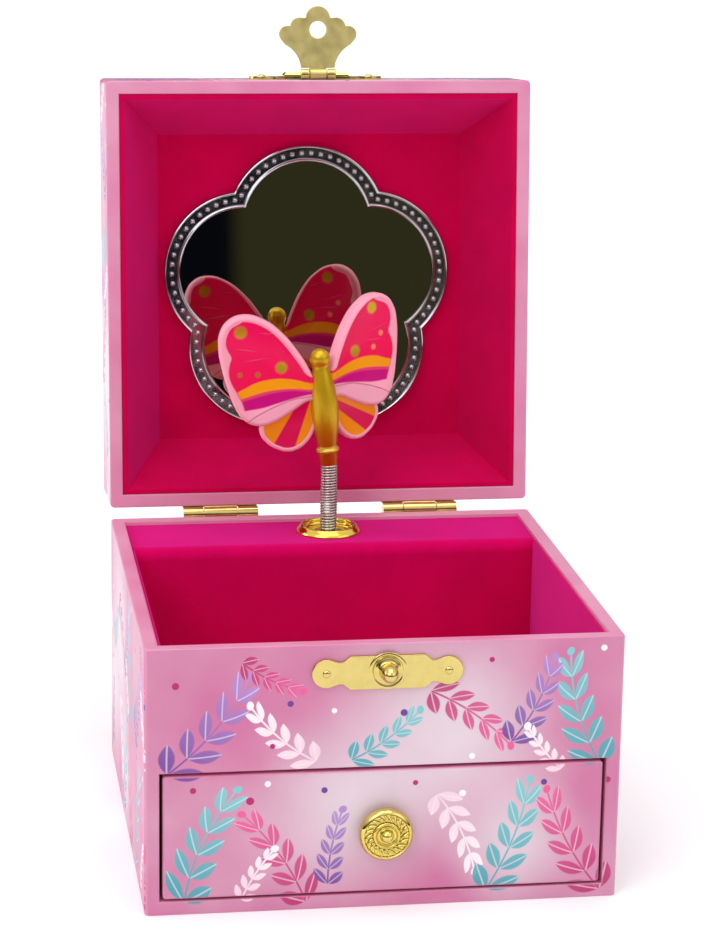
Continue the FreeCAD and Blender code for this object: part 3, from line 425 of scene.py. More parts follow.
class Finish(Nodes):
    """A material. Values that are the same all over are set on the shader itself."""

    def __init__(self, name, **constants):
        self.look = bpy.data.materials.new(name)
        self.look.use_nodes = True
        super().__init__(self.look.node_tree)
        self.feed(**constants)

    def feed(self, **values):
        self.fed(self.tree.nodes["Principled BSDF"], **values)
        return self.look

    def coordinates(self, kind):
        return self.add("TexCoord").outputs[kind]

    def taken_back(self, vector, matrix, **settings):
        """A vector turned back to how the piece lay before a matrix placed it."""
        made = self.add("Mapping", vector_type="TEXTURE")
        return self.fed(made, Vector=vector, Rotation=matrix.to_euler("XYZ"), **settings)[0]

    def measured(self, matrix=None):
        """Object coordinates in millimetres, taken back through the matrix that placed the piece."""
        spot = self.coordinates("Object")
        if matrix is not None:
            spot = self.taken_back(spot, matrix, Location=matrix.to_translation())
        return self.vector("MULTIPLY", spot, (1 / mm,) * 3)


# Shared effects

def paper_fibre():
    g = Group("paper_fibre", {"Place": ORIGIN}, ("Tone", "Height", "Roughness"))
    broad = g.noise(g.given["Place"], 0.12)
    return g.give(Tone=g.graded(broad, 0.3, 0.7, 0.97, 1.02), Height=g.noise(g.given["Place"], 9.0, 3.0),
                  Roughness=g.graded(broad, 0.3, 0.7, 0.34, 0.44))


def handling():
    """Smears from handling, and fine scratches drawn out along X."""
    g = Group("handling", {"Place": ORIGIN, "Low": 0.15, "High": 0.3}, ("Roughness", "Height", "Tone"))
    smear = g.noise(g.given["Place"], 0.35, 4.0, 0.6)
    drawn_out = g.vector("MULTIPLY", g.given["Place"], (0.6, 6.0, 6.0))
    return g.give(Roughness=g.graded(smear, 0.3, 0.7, g.given["Low"], g.given["High"]),
                  Height=g.noise(drawn_out, 1.5), Tone=g.graded(smear, 0.3, 0.7, 0.9, 1.05))


def flock_pile():
    g = Group("flock_pile", {"Place": ORIGIN}, ("Tone", "Height"))
    tuft = g.noise(g.given["Place"], 5.0, 4.0, 0.7)
    brushed = g.noise(g.given["Place"], 0.09, 3.0, 0.55)
    tone = g.times(g.graded(tuft, 0.25, 0.75, 0.86, 1.12), g.graded(brushed, 0.3, 0.7, 0.93, 1.06))
    return g.give(Tone=tone, Height=tuft)


# One sprig, in millimetres; a leaf's belly and vein are shares of the step between leaves
LEAF_PAIRS = 5.0
LEAF_LEAN = math.radians(48)
LEAF_BELLY = 1.3
VEIN_HALF = 0.045
STEM_HALF = 0.3
BERRY_AHEAD = 0.5
BERRY_RADIUS = 1.0


def sprig():
    """A bowed stem with pairs of leaves that grow smaller towards a berry at its tip."""
    g = Group("sprig", {"Place": ORIGIN, "Root": ORIGIN, "Length": 20.0, "Heading": 0.0, "Bow": 0.0},
              ("Leaf", "Vein", "Along", "Berry"))
    length = g.given["Length"]
    away = g.vector("SUBTRACT", g.given["Place"], g.given["Root"])
    ahead, aside, _ = g.split(g.spun(away, g.times(g.given["Heading"], -1.0)))
    along = g.over(ahead, length)
    arch = g.times(g.times(along, g.minus(1.0, along)), g.given["Bow"])
    across = g.unsigned(g.minus(aside, arch))
    size = g.times(g.graded(along, 0.0, 1.0, 1.0, 0.5), length)
    wide = g.times(g.over(across, size), LEAF_PAIRS)
    step = g.calc("FRACT", g.times(along, LEAF_PAIRS))
    cosine, sine = math.cos(LEAF_LEAN), math.sin(LEAF_LEAN)
    reach = g.times(g.plus(g.times(wide, sine), g.times(step, cosine)), cosine)
    side = g.unsigned(g.minus(g.times(wide, cosine), g.times(step, sine)))
    belly = g.times(g.times(reach, g.minus(1.0, reach)), LEAF_BELLY)
    inside = g.times(g.graded(along, 0.0, 0.01), g.graded(along, 1.0, 0.99))
    blade = g.mask(g.minus(belly, side), 16.0)
    stem = g.mask(g.minus(STEM_HALF, across), 6.0)
    vein = g.mask(g.minus(VEIN_HALF, side), 40.0)
    gap = g.vector("LENGTH", g.point(g.minus(ahead, g.plus(length, BERRY_AHEAD)), across))
    return g.give(Leaf=g.times(g.most(blade, stem), inside), Vein=g.times(g.times(vein, blade), inside),
                  Along=g.mask(along, 1.0), Berry=g.mask(g.minus(BERRY_RADIUS, gap), 6.0))


def stroke():
    """A painted stroke on its own axis, pointed at both ends."""
    g = Group("stroke", {"Place": ORIGIN, "Centre": ORIGIN, "Length": 8.0, "Width": 3.0, "Turn": 0.0},
              ("Mask",))
    away = g.vector("SUBTRACT", g.given["Place"], g.given["Centre"])
    ahead, aside, _ = g.split(g.spun(away, g.given["Turn"]))
    along = g.over(ahead, g.times(g.given["Length"], 0.5))
    half = g.times(g.times(g.given["Width"], 0.5), g.minus(1.0, g.times(along, along)))
    return g.give(Mask=g.mask(g.minus(half, g.unsigned(aside)), 5.0))


def spot():
    """A round spot with an edge as soft as asked."""
    g = Group("spot", {"Place": ORIGIN, "Centre": ORIGIN, "Size": 1.0, "Soft": 0.2}, ("Mask",))
    right, rise, _ = g.split(g.vector("SUBTRACT", g.given["Place"], g.given["Centre"]))
    rest = g.minus(g.given["Size"], g.vector("LENGTH", g.point(right, rise)))
    soft = g.add("MapRange", rest, 0.0, g.given["Soft"], 0.0, 1.0, interpolation_type="SMOOTHSTEP")
    return g.give(Mask=soft.outputs[0])


PAPER_FIBRE = paper_fibre()
HANDLING = handling()
FLOCK_PILE = flock_pile()
SPRIG = sprig()
STROKE = stroke()
SPOT = spot()

# Paper

PINK = rgb("CE709E")
RIM_PINK = rgb("E086AE")
PALE = rgb("E4D8E0")
WHITE = rgb("FAF2F6")
TEAL = (rgb("2F9FAE"), rgb("7CCBD0"))
PURPLE = (rgb("6C3596"), rgb("B48AD0"))
MAGENTA = (rgb("B8106A"), rgb("EA5C9C"))
BLUSH = (rgb("F6D4E2"), rgb("FFF6FA"))
PLUM = PURPLE[0]
CERISE = MAGENTA[0]

# Tossed leafy sprigs and loose berries, in millimetres on a sheet that comes again both ways.
# A sprig has its root, length, heading in degrees, bow and colours; a berry or glow has its middle and size
SHEET_WIDE = 110.0
SHEET_TALL = 64.0
SPRIGS = [
    ((-46, 3), 29, 66, 8, TEAL), ((-18, 2), 26, 124, -6, MAGENTA), ((-13, 6), 18, 80, 3, PURPLE),
    ((12, 27), 21, -64, 5, BLUSH), ((24, 3), 28, 70, -6, TEAL), ((51, 2), 28, 118, 6, MAGENTA),
    ((-33, 3), 14, 58, 2, BLUSH), ((-50, 34), 29, 50, -7, PURPLE), ((-16, 36), 20, 138, 5, BLUSH),
    ((-8, 36), 19, 36, -4, TEAL), ((10, 52), 23, -36, 5, MAGENTA), ((50, 33), 28, 106, 7, TEAL),
    ((29, 39), 22, 64, -5, PURPLE), ((-33, 60), 15, -28, -3, MAGENTA), ((41, 32), 13, 128, 2, BLUSH),
]
BERRIES = [
    ((-31, 27), 1.0, CERISE), ((-27, 31), 0.8, WHITE), ((-44, 30), 0.8, CERISE), ((-14, 29), 0.8, PLUM),
    ((7, 30), 0.7, CERISE), ((18, 27), 0.9, WHITE), ((37, 29), 0.8, PLUM), ((-26, 40), 0.7, CERISE),
    ((4, 47), 0.9, PLUM), ((-12, 48), 0.7, WHITE), ((20, 36), 0.8, WHITE), ((-48, 55), 0.9, CERISE),
    ((52, 29), 0.8, CERISE), ((-22, 50), 0.8, PLUM), ((24, 59), 0.7, CERISE), ((50, 61), 0.8, WHITE),
]
GLOWS = [((14, 42), 36), ((-8, 24), 28), ((30, 14), 20)]


def sprig_print():
    """The printed sheet: a pink wash with pale glows, and the sprigs and berries on it."""
    g = Group("sprig_print", {"Place": ORIGIN}, ("Colour",))
    cloud = g.noise(g.given["Place"], 0.03)
    colour = g.mix(g.graded(cloud, 0.35, 0.7, 0.0, 0.3), PINK, PALE)
    for middle, size in GLOWS:
        glow = g.use(SPOT, Place=g.given["Place"], Centre=(*middle, 0), Size=size, Soft=size)["Mask"]
        colour = g.mix(g.times(glow, 0.85), colour, PALE)
    right, rise, _ = g.split(g.given["Place"])
    sheet = g.point(g.calc("WRAP", right, SHEET_WIDE / 2, -SHEET_WIDE / 2),
                    g.calc("WRAP", rise, SHEET_TALL, 0.0))
    for root, length, heading, bow, (deep, light) in SPRIGS:
        twig = g.use(SPRIG, Place=sheet, Root=(*root, 0), Length=length, Heading=math.radians(heading),
                     Bow=bow)
        colour = g.mix(g.times(twig["Leaf"], 0.92), colour, g.mix(twig["Along"], deep, light))
        colour = g.mix(g.times(twig["Vein"], 0.45), colour, WHITE)
        colour = g.mix(twig["Berry"], colour, light)
    for middle, size, tint in BERRIES:
        berry = g.use(SPOT, Place=sheet, Centre=(*middle, 0), Size=size, Soft=0.15)["Mask"]
        colour = g.mix(berry, colour, tint)
    return g.give(Colour=colour)


SPRIG_PRINT = sprig_print()

# Faces that carry print: the way each looks, then the ways across and up its sheet
TOP = ((0, 0, 1), (1, 0, 0), (0, 1, 0))
FRONT = ((0, -1, 0), (1, 0, 0), (0, 0, 1))
BACK = ((0, 1, 0), (-1, 0, 0), (0, 0, 1))
LEFT = ((-1, 0, 0), (0, -1, 0), (0, 0, 1))
RIGHT = ((1, 0, 0), (0, 1, 0), (0, 0, 1))
OUTER_SKIN = (53.5, 54.4)


def printed_paper(name, matrix, faces):
    """Satin paper, printed on the outer faces named, each with its sheet's shift, and plain elsewhere."""
    f = Finish(name, Specular_IOR_Level=0.4, Coat_Weight=0.12, Coat_Roughness=0.3)
    here = f.measured(matrix)
    normal = f.coordinates("Normal")
    if matrix is not None:
        normal = f.taken_back(normal, matrix)
    cloud = f.graded(f.noise(here, 0.05), 0.35, 0.65)
    plain = f.mix(cloud, RIM_PINK, f.mix(0.12, RIM_PINK, WHITE))
    sheet, printed = None, None
    for (outward, across, up), (right, rise) in faces:
        lies = f.point(f.plus(f.vector("DOT_PRODUCT", here, across), right),
                       f.plus(f.vector("DOT_PRODUCT", here, up), rise))
        facing = f.graded(f.vector("DOT_PRODUCT", normal, outward), 0.55, 0.95)
        shown = f.times(facing, f.graded(f.vector("DOT_PRODUCT", here, outward), *OUTER_SKIN))
        if sheet is None:
            sheet, printed = lies, shown
        else:
            chosen = f.calc("GREATER_THAN", facing, 0.5)
            sheet = f.add("Mix", chosen, sheet, lies, data_type="VECTOR").outputs[1]
            printed = f.most(printed, shown)
    colour = f.mix(printed, plain, f.use(SPRIG_PRINT, Place=sheet)["Colour"])
    fibre = f.use(PAPER_FIBRE, Place=here)
    return f.feed(Base_Color=f.toned(colour, fibre["Tone"]), Roughness=fibre["Roughness"],
                  Normal=f.bump(fibre["Height"], 0.01, 0.25))


# Flock, metal, mirror and board

def flock(name, tint):
    f = Finish(name, Roughness=0.95, Specular_IOR_Level=0.05, Sheen_Weight=0.8, Sheen_Roughness=0.4,
               Sheen_Tint=rgb("FF50F0"))
    pile = f.use(FLOCK_PILE, Place=f.measured())
    return f.feed(Base_Color=f.toned(rgb(tint), pile["Tone"]), Normal=f.bump(pile["Height"], 0.06, 0.5))


def metal(name, tint, low, high):
    """Handled metal, as rough as the two values between which its smears vary."""
    f = Finish(name, Metallic=1.0)
    touch = f.use(HANDLING, Place=f.measured(), Low=low, High=high)
    return f.feed(Base_Color=f.toned(rgb(tint), touch["Tone"]), Roughness=touch["Roughness"],
                  Normal=f.bump(touch["Height"], 0.004, 0.3))


MIRROR_LEAN = (-0.0175, -0.0315)


def mirror_glass():
    """Silvered plastic that isn't quite flat: it leans a little towards the top and the left."""
    f = Finish("mirror_glass", Metallic=1.0, Roughness=0.02)
    here = f.measured(LID_SWING)
    film = f.graded(f.noise(here, 0.02, 3.0), 0.3, 0.7)
    right, rise, _ = f.split(here)
    lean = f.plus(f.times(rise, MIRROR_LEAN[1]), f.times(right, MIRROR_LEAN[0]))
    return f.feed(Base_Color=f.mix(film, rgb("C4C3B6"), rgb("CCCBC0")), Normal=f.bump(lean, 1.0))


def plain_board():
    f = Finish("plain_board", Specular_IOR_Level=0.3)
    grain = f.noise(f.vector("MULTIPLY", f.measured(), (0.08, 1.0, 1.0)), 0.9, 4.0, 0.6)
    return f.feed(Base_Color=f.mix(f.graded(grain, 0.3, 0.7), rgb("B98F5E"), rgb("D2AE80")),
                  Roughness=f.graded(grain, 0.2, 0.8, 0.55, 0.75), Normal=f.bump(grain, 0.05, 0.4))


def gold_paint_and_reflection():
    """Gold on the figure, with a brighter collar, browner and redder towards its foot as a painted reflection
    of the crimson lining around it.
    """
    f = Finish("gold_paint_and_reflection", Metallic=0.6, Coat_Weight=0.12, Coat_Roughness=0.18, Specular_IOR_Level=0.25)
    here = f.measured(FIGURE_PLACE)
    height = f.split(here)[2]
    # Browner and redder low down: a painted reflection of the crimson lining round the foot
    colour = f.mix(f.graded(height, 4.0, 13.0), rgb("BC5A0C"), rgb("CCA210"))
    collar = f.times(f.graded(height, 3.9, 4.2), f.graded(height, 5.6, 5.3))
    touch = f.use(HANDLING, Place=here, Low=0.3, High=0.4)
    return f.feed(Base_Color=f.mix(collar, colour, rgb("E0B848")), Roughness=touch["Roughness"])


CASE_PAPER = printed_paper(
    "case_paper", None, [(FRONT, (0, 0)), (LEFT, (34, 0)), (RIGHT, (-30, 0)), (BACK, (58, 0))])
DRAWER_PAPER = printed_paper("drawer_paper", None, [(FRONT, (0, 0))])
LID_PAPER = printed_paper(
    "lid_paper", LID_SWING,
    [(FRONT, (0, -34)), (LEFT, (34, -34)), (RIGHT, (-30, -34)), (BACK, (58, -34)), (TOP, (12, 64))])
CRIMSON_FLOCK = flock("crimson_flock", "CA0048")
# The lining's flock again, painted a little lighter and pinker to stand in for the sheen that the shelf's top
# catches
SHELF_FLOCK_AND_SHEEN = flock("shelf_flock", "D2005A")
BRASS = metal("polished_brass", "D8C278", 0.12, 0.22)
SATIN_BRASS = metal("satin_brass", "DCCB88", 0.42, 0.55)
GILT = metal("gilt_brass", "E2C456", 0.12, 0.22)
KNOB_BRASS = metal("knob_polish", "E0CC74", 0.05, 0.12)
AGED_BRASS = metal("movement_brass", "C4A45A", 0.28, 0.42)
SILVER = metal("silver_plate", "BEBEC4", 0.1, 0.18)
STEEL = metal("spring_steel", "C8C6C2", 0.2, 0.32)
PLAIN_STEEL = metal("plain_steel", "A8A8AA", 0.3, 0.45)
MIRROR = mirror_glass()
BOARD = plain_board()
GOLD_PAINT_AND_REFLECTION = gold_paint_and_reflection()

# Wing paint, in millimetres out from the body's axis and up from its foot

WING_SPAN = 45.0
WING_PINK = rgb("FCA6BE")
FIELD_TOP = [(3.0, 24.2), (5.8, 28.2), (8.4, 32.4), (11.0, 35.8), (14.0, 38.4), (17.0, 39.8), (19.6, 40.0),
             (21.8, 38.7), (23.2, 36.5), (24.4, 33.0)]
FIELD_SIDE = [(18.0, 20.6), (22.0, 22.0), (25.0, 23.2), (27.2, 23.5), (29.4, 23.1), (31.2, 22.5),
              (33.0, 23.2), (35.0, 23.6), (38.0, 22.6), (41.0, 18.0)]
ORANGE_TOP = [(3.0, 23.0), (6.5, 24.1), (10.0, 24.9), (13.4, 25.0), (17.3, 24.4), (20.0, 23.3), (24.0, 22.0)]
ORANGE_LOW = [(3.0, 21.3), (7.4, 22.0), (10.8, 22.2), (14.5, 22.0), (18.0, 21.4), (24.0, 20.2)]
MAGENTA_TOP = [(3.0, 20.7), (8.0, 21.5), (11.3, 21.5), (15.0, 21.1), (18.5, 20.5), (24.0, 19.4)]
MAGENTA_LOW = [(3.0, 20.0), (8.0, 19.4), (12.0, 18.6), (15.5, 17.9), (19.5, 17.6), (24.0, 17.4)]
FOLD_TOP = [(3.0, 19.4), (8.0, 19.1), (12.0, 18.0), (15.5, 16.7), (19.0, 15.0), (24.0, 12.0)]
VEINS = (((18.7, 32.7), 8.0, -0.22), ((13.0, 36.4), 5.0, -0.15), ((16.5, 29.9), 8.0, 0.05))

# The two wings were painted by hand, so their dots, bands, fields and rays differ: -1 is left, 1 is right
GILT_DOTS = {-1: (((19.6, 37.4), 1.6), ((10.1, 27.3), 1.5)), 1: (((17.1, 38.2), 1.6), ((10.4, 28.2), 1.5))}
SMALL_DOTS = {-1: (((20.7, 26.5), 0.95), ((16.2, 26.1), 1.0)),
              1: (((19.4, 31.1), 0.95), ((16.6, 28.0), 0.95))}
SMALL_DOT_PAINT = {-1: rgb("C2602C"), 1: rgb("F28A58")}
BAND_LIFT = {-1: -0.5, 1: 1.1}
FIELD_RISE = {-1: 0.0, 1: 0.6}
FIELD_REACH = {-1: 0.0, 1: -0.45}
# Each hind wing's fan: the root it spreads from, and the angles where rose, orange and the red painted shadow
# of the body begin
HIND_RAYS_AND_SHADE = {-1: ((-1.0, 28.6), (0.95, 1.165, 1.36)), 1: ((-4.2, 21.4), (0.523, 0.72, 1.36))}


def band_edge(g, value, points):
    """A painted edge drawn as a curve through points."""
    made = g.add("FloatCurve")
    curve = made.mapping.curves[0]
    ends = [(0.0, points[0][1])] + points + [(WING_SPAN, points[-1][1])]
    knots = [(x / WING_SPAN, y / WING_SPAN) for x, y in ends]
    curve.points[0].location = knots[0]
    curve.points[1].location = knots[-1]
    for knot in knots[1:-1]:
        curve.points.new(*knot)
    made.mapping.update()
    return g.times(g.fed(made, Value=g.over(value, WING_SPAN))[0], WING_SPAN)


def below(g, value, limit, edge=0.18):
    return g.graded(g.minus(limit, value), -edge, edge)


def wing_paint(side):
    """Rim, field with gilt dots and fine veins, an orange and a magenta band, and a pale fold whose crease is
    darkened with painted shade.
    """
    g = Group("wing_paint", {"Out": 0.0, "Up": 0.0, "Wider": 0.0}, ("Colour", "Gilt", "Height"))
    reach, up, wider = (g.given[label] for label in ("Out", "Up", "Wider"))
    here = g.point(reach, up)

    def dot(middle, size, soft):
        return g.use(SPOT, Place=here, Centre=(*middle, 0), Size=size, Soft=soft)["Mask"]

    edge = g.plus(band_edge(g, up, FIELD_SIDE), g.plus(wider, FIELD_REACH[side]))
    top = g.plus(band_edge(g, reach, FIELD_TOP), g.most(wider, FIELD_RISE[side]))
    field = g.times(below(g, up, top), below(g, reach, edge))
    rosy = g.mix(g.graded(up, 24.0, 40.0), rgb("F00852"), rgb("F61260"))
    colour = g.mix(field, WING_PINK, rosy)
    height, gilt = 0.0, 0.0
    for middle, length, angle in VEINS:
        vein = g.use(STROKE, Place=here, Centre=(*middle, 0), Length=length, Width=0.5, Turn=angle)["Mask"]
        colour = g.mix(g.times(vein, 0.4), colour, rgb("F86C9C"))
        height = g.plus(height, vein)
    for middle, size in SMALL_DOTS[side]:
        colour = g.mix(dot(middle, size, 0.5), colour, SMALL_DOT_PAINT[side])
    for middle, size in GILT_DOTS[side]:
        colour = g.mix(g.times(dot(middle, size + 0.45, 0.4), 0.4), colour, rgb("E07A3A"))
        gilded = dot(middle, size, 0.35)
        colour = g.mix(gilded, colour, rgb("CCA42A"))
        gilt = g.most(gilt, gilded)
    inside = below(g, reach, g.plus(edge, -0.2))
    level = g.minus(up, BAND_LIFT[side])
    for points, tint in ((ORANGE_TOP, "F49A06"), (ORANGE_LOW, "E43A68"), (MAGENTA_TOP, "C8027A")):
        under = below(g, level, band_edge(g, reach, points))
        colour = g.mix(g.times(under, inside), colour, rgb(tint))
    colour = g.mix(below(g, level, band_edge(g, reach, MAGENTA_LOW)), colour, WING_PINK)
    fold = g.minus(band_edge(g, reach, FOLD_TOP), level)
    colour = g.mix(g.graded(fold, -0.1, 0.1), colour, rgb("F2A2BA"))
    # The crease is a groove in the bump, and is darkened besides as painted shade
    shaded_crease = g.graded(g.unsigned(fold), 0.05, 0.22, 1.0, 0.0)
    colour = g.mix(g.times(shaded_crease, 0.5), colour, rgb("B05070"))
    return g.give(Colour=colour, Gilt=g.times(gilt, 0.6), Height=g.minus(height, shaded_crease))


def hind_paint(side):
    """Rays of orange and rose that fan out from above the wing's root, and a red painted shadow of the body
    along its inner edge.
    """
    (root_out, root_up), starts = HIND_RAYS_AND_SHADE[side]
    g = Group("hind_paint", {"Out": 0.0, "Up": 0.0}, ("Colour",))
    angle = g.calc("ARCTAN2", g.minus(root_up, g.given["Up"]), g.minus(g.given["Out"], root_out))
    colour = rgb("F08A06")
    # The last band, red and next to the body, is the body's painted shadow
    for start, tint in zip(starts, ("D80650", "F08A06", "E04020")):
        colour = g.mix(g.graded(angle, start, start + 0.02), colour, rgb(tint))
    return g.give(Colour=colour)


def wing_matrix(side):
    return FIGURE_PLACE @ turn(side * WING_SWEEP, "Z")


def wing_coat(name):
    """Satin paint; returns the finish and its marks of handling."""
    f = Finish(name, Coat_Weight=0.06, Coat_Roughness=0.2, Specular_IOR_Level=0.12)
    touch = f.use(HANDLING, Place=f.measured(), Low=0.28, High=0.4)
    f.feed(Roughness=touch["Roughness"])
    return f, touch


def fore_wing(name, side):
    """Painted field on the front; on the back its paint runs wider, over the rim."""
    f, _ = wing_coat(name)
    right, depth, up = f.split(f.measured(wing_matrix(side)))
    behind = f.graded(depth, 0.0, 0.4, 0.0, 1.1)
    paint = f.use(wing_paint(side), Out=f.times(right, side), Up=up, Wider=behind)
    return f.feed(Base_Color=paint["Colour"], Metallic=paint["Gilt"],
                  Normal=f.bump(paint["Height"], 0.2, 0.8))


def hind_wing(name, side):
    f, _ = wing_coat(name)
    right, _, up = f.split(f.measured(wing_matrix(side)))
    return f.feed(Base_Color=f.use(hind_paint(side), Out=f.times(right, side), Up=up)["Colour"])


def wing_rim():
    f, touch = wing_coat("wing_rim")
    return f.feed(Base_Color=f.toned(WING_PINK, touch["Tone"], 0.35))


WING_RIM = wing_rim()


# Case, lid and drawer

PAPER_EDGE = 0.4
LID_CORNER = 1.2
FLOCK_EDGE = 0.25
FLOCK_ANGLE = 25
LINING_CARD = 1.2
LINING_BACK = 2.0
LINING_INSET = 10.1
NEAR = 0.1


def span(names, back=None):
    """Lowest and highest corners of some nodes in millimetres, taken back through a matrix if given."""
    taken = Matrix() if back is None else back.inverted()
    points = [taken @ v.co / mm for name in names for v in cad[name].data.vertices]
    return [Vector([end(p[i] for p in points) for i in range(3)]) for end in (min, max)]


def make_case():
    names = ["front_rail", "left_side", "right_side", "back_panel", "base_panel"]
    shell = fused([copy_of(n) for n in names])
    low, high = span(names)
    soften_where(shell, PAPER_EDGE, 3,
                 lambda p: p.z > high.z - NEAR or p.z < low.z + NEAR or p.y < low.y + NEAR)
    finish(shell, "case_wrap", "box", CASE_PAPER, names)


def hollowed(piece, wall, depth, narrowing=1.0):
    """A block hollowed from below, with a hollow that may narrow towards its end."""
    pick(piece, "FACE", lambda face: face.normal.z < -FACING)
    bpy.ops.mesh.inset(thickness=wall * mm)
    extrude(0, 0, depth)
    bpy.ops.transform.resize(value=(narrowing, narrowing, 1), center_override=(0, 0, 0))
    return leave()


def make_lid():
    """One wrapped shell, modelled shut: a block hollowed from below, with rounded corners and a soft rim."""
    names = ["lid_front", "lid_left", "lid_right", "lid_back", "lid_top"]
    low, high = span(names, LID_SWING)
    side_low, side_high = span(["lid_left"], LID_SWING)
    top_low, _ = span(["lid_top"], LID_SWING)
    shell = hollowed(block(low, high), side_high.x - side_low.x, top_low.z - low.z)
    soften_where(shell, LID_CORNER, 5, lambda p: p.z > high.z - NEAR
                 or abs(p.x) > high.x - NEAR and abs(p.y) > high.y - NEAR)
    soften_where(shell, PAPER_EDGE, 3, lambda p: p.z < low.z + NEAR)
    finish(place(shell, LID_SWING), "lid_wrap", "lid", LID_PAPER, names)


def make_lid_lining():
    """Four sloping cards and a flat one behind the mirror, modelled shut as one skin."""
    low, high = span(["lid_lining"], LID_SWING)
    panel = high.z - LINING_BACK
    skin = block(low, Vector((high.x, high.y, panel)))
    pick(skin, "FACE", lambda face: face.normal.z > FACING)
    outer, inner = ((reach - LINING_INSET) / reach for reach in (high.x, high.x - LINING_CARD))
    bpy.ops.transform.resize(value=(outer, outer, 1), center_override=(0, 0, 0))
    extrude(0, 0, LINING_BACK)
    skin = soften(hollowed(leave(), LINING_CARD, panel - low.z, inner), FLOCK_EDGE, 2, FLOCK_ANGLE)
    finish(place(skin, LID_SWING), "lid_lining_flock", "lid", CRIMSON_FLOCK, ["lid_lining"])


def make_other_linings():
    for node, body, look, slot in (("tray_lining", "box", CRIMSON_FLOCK, "flock"),
                                   ("drawer_lining", "drawer", CRIMSON_FLOCK, "flock"),
                                   ("movement_cover", "box", SHELF_FLOCK_AND_SHEEN, "shelf_flock")):
        cards = soften(melded(copy_of(node)), FLOCK_EDGE, 2, FLOCK_ANGLE)
        finish(cards, node + "_flock", body, look, [node])


def make_drawer_front():
    finish(copy_of("drawer_front"), "drawer_face", "drawer", DRAWER_PAPER, ["drawer_front"])


# Brass work. Turned sections give radius against height

PLATE_EDGE = 0.16
HINGE_EDGE = 0.12
SLIVER = 0.03
HASP_THICKNESS = (-0.05, 0.85)
HASP_HOLE = (11.3, 2.2)
HASP_BARREL = [(0.56, -2.15), (1.18, -2.15), (1.3, -2.03), (1.3, 2.03), (1.18, 2.15), (0.56, 2.15),
               (0.56, -2.15)]
NAIL = [(0, 0), (0.95, 0), (0.93, 0.16), (0.8, 0.36), (0.55, 0.5), (0.28, 0.55), (0, 0.56)]
NAIL_MIDDLE = 0.275
NAIL_GAP = 2
CATCH_STUD = [(0, 0), (4.4, 0), (4.4, 0.18), (4.25, 0.3), (3.55, 0.3), (3.4, 0.18), (3.2, 0.16), (3.02, 0.28),
              (2.75, 0.35), (2.45, 0.45), (2.2, 0.58), (2.08, 0.75), (2.05, 1.2), (2.05, 2.4), (1.98, 3.1),
              (1.82, 3.75), (1.58, 4.3), (1.25, 4.78), (0.82, 5.1), (0.42, 5.25), (0, 5.3)]
EYELET = [(6.15, -3.2), (6.2, -3.1), (6.2, 0.0), (8.2, 0.0), (8.25, 0.12), (8.16, 0.45), (7.85, 0.88),
          (7.4, 1.28), *arc(6.75, 1.2, 0.62, 35, 180, 10), (6.08, 0.75), (5.85, 0.32), (5.3, 0.05),
          (4.4, -0.1), (3.3, -0.26), (3.12, -0.34), (3.12, -1.1), (5.35, -1.1), (5.4, -3.1), (5.45, -3.2),
          (6.15, -3.2)]
KNOB_DISH = [(0, 0), (2.2, 0), (2.2, 0.9), (2.5, 1.15), (5.3, 1.2), (5.95, 1.45), (6.24, 1.9), (6.3, 2.4),
             (6.16, 3.0), (5.86, 3.5), (5.52, 3.82), (5.28, 3.9), (5.12, 3.76), (5.0, 3.45), (3.35, 3.45),
             (3.2, 3.75), (3.02, 3.98), (2.82, 4.06), (2.62, 4.0), (2.48, 3.8), (2.3, 3.58), (2.02, 3.45),
             (1.76, 3.45), (1.56, 3.58), (1.45, 3.75), *arc(0, 3.85, 1.45, 0, 90, 8)]
ROPE_STRANDS = 20
ROPE_RADIUS = 4.2
ROPE_HEIGHT = 3.6
ROPE_TWIST = 40
STRAND_HALVES = (1.18, 0.4, 0.55)


def brass(piece, node, body):
    finish(piece, node + "_brass", body, BRASS, [node])


def make_plates():
    for node, body in (("catch_plate", "box"), ("hasp_leaf", "lid")):
        brass(edged(node, PLATE_EDGE), node, body)
    for body in ("box", "lid"):
        for side in ("left", "right"):
            node = "%s_hinge_%s_leaf" % (side, body)
            edit(edged(node, HINGE_EDGE))
            bpy.ops.mesh.dissolve_degenerate(threshold=SLIVER * mm)
            bpy.ops.mesh.remove_doubles(threshold=SLIVER * mm)
            brass(leave(), node, body)


def hasp_outline():
    """The fan from its tongue to its crown, across against out from the pin: three lobes above a flank."""
    half = [(2.15, 0.9), (2.15, 1.55)]
    half += arc(11.7, 0.86, 7.37, 174.7, 116.6, 12)
    half += arc(7.9, 10.15, 2.15, -35, 100, 16)
    half += arc(4.75, 12.05, 2.38, 8, 108, 12)
    half += arc(0, 14.15, 3.15, 4, 90, 12)
    return half + [(-x, out) for x, out in reversed(half[:-1])]


def make_hasp_flap():
    """Fan-shaped flap, drawn straight out from the shut lid, with the barrel that turns on its pin."""
    near, far = HASP_THICKNESS
    draw(hasp_outline(), True)
    bpy.ops.transform.translate(value=(0, near * mm, 0))
    extrude(0, far - near, 0)
    weld()
    fan = leave()
    out, radius = HASP_HOLE
    deselect()
    bpy.ops.mesh.primitive_cylinder_add(vertices=40, radius=radius * mm, depth=4 * mm)
    combine(fan, place(bpy.context.object, at(0, 0, out) @ FACING_FRONT), "DIFFERENCE")
    flap = fused([soften(fan, PLATE_EDGE), place(turned(HASP_BARREL, 32), turn(90, "Y"))])
    place(flap, LID_SWING @ at(*HASP_AXIS) @ FACING_FRONT)
    finish(flap, "hasp_flap_brass", "hasp", SATIN_BRASS, ["hasp_flap"])


def nail_spots(node):
    """Middles of a row of heads, told apart by the gaps between them along X."""
    points = sorted((v.co.copy() for v in cad[node].data.vertices), key=lambda p: p.x)
    rows = [[points[0]]]
    for before, point in zip(points, points[1:]):
        if point.x - before.x > NAIL_GAP * mm:
            rows.append([])
        rows[-1].append(point)
    return [sum(row, Vector()) / len(row) for row in rows]


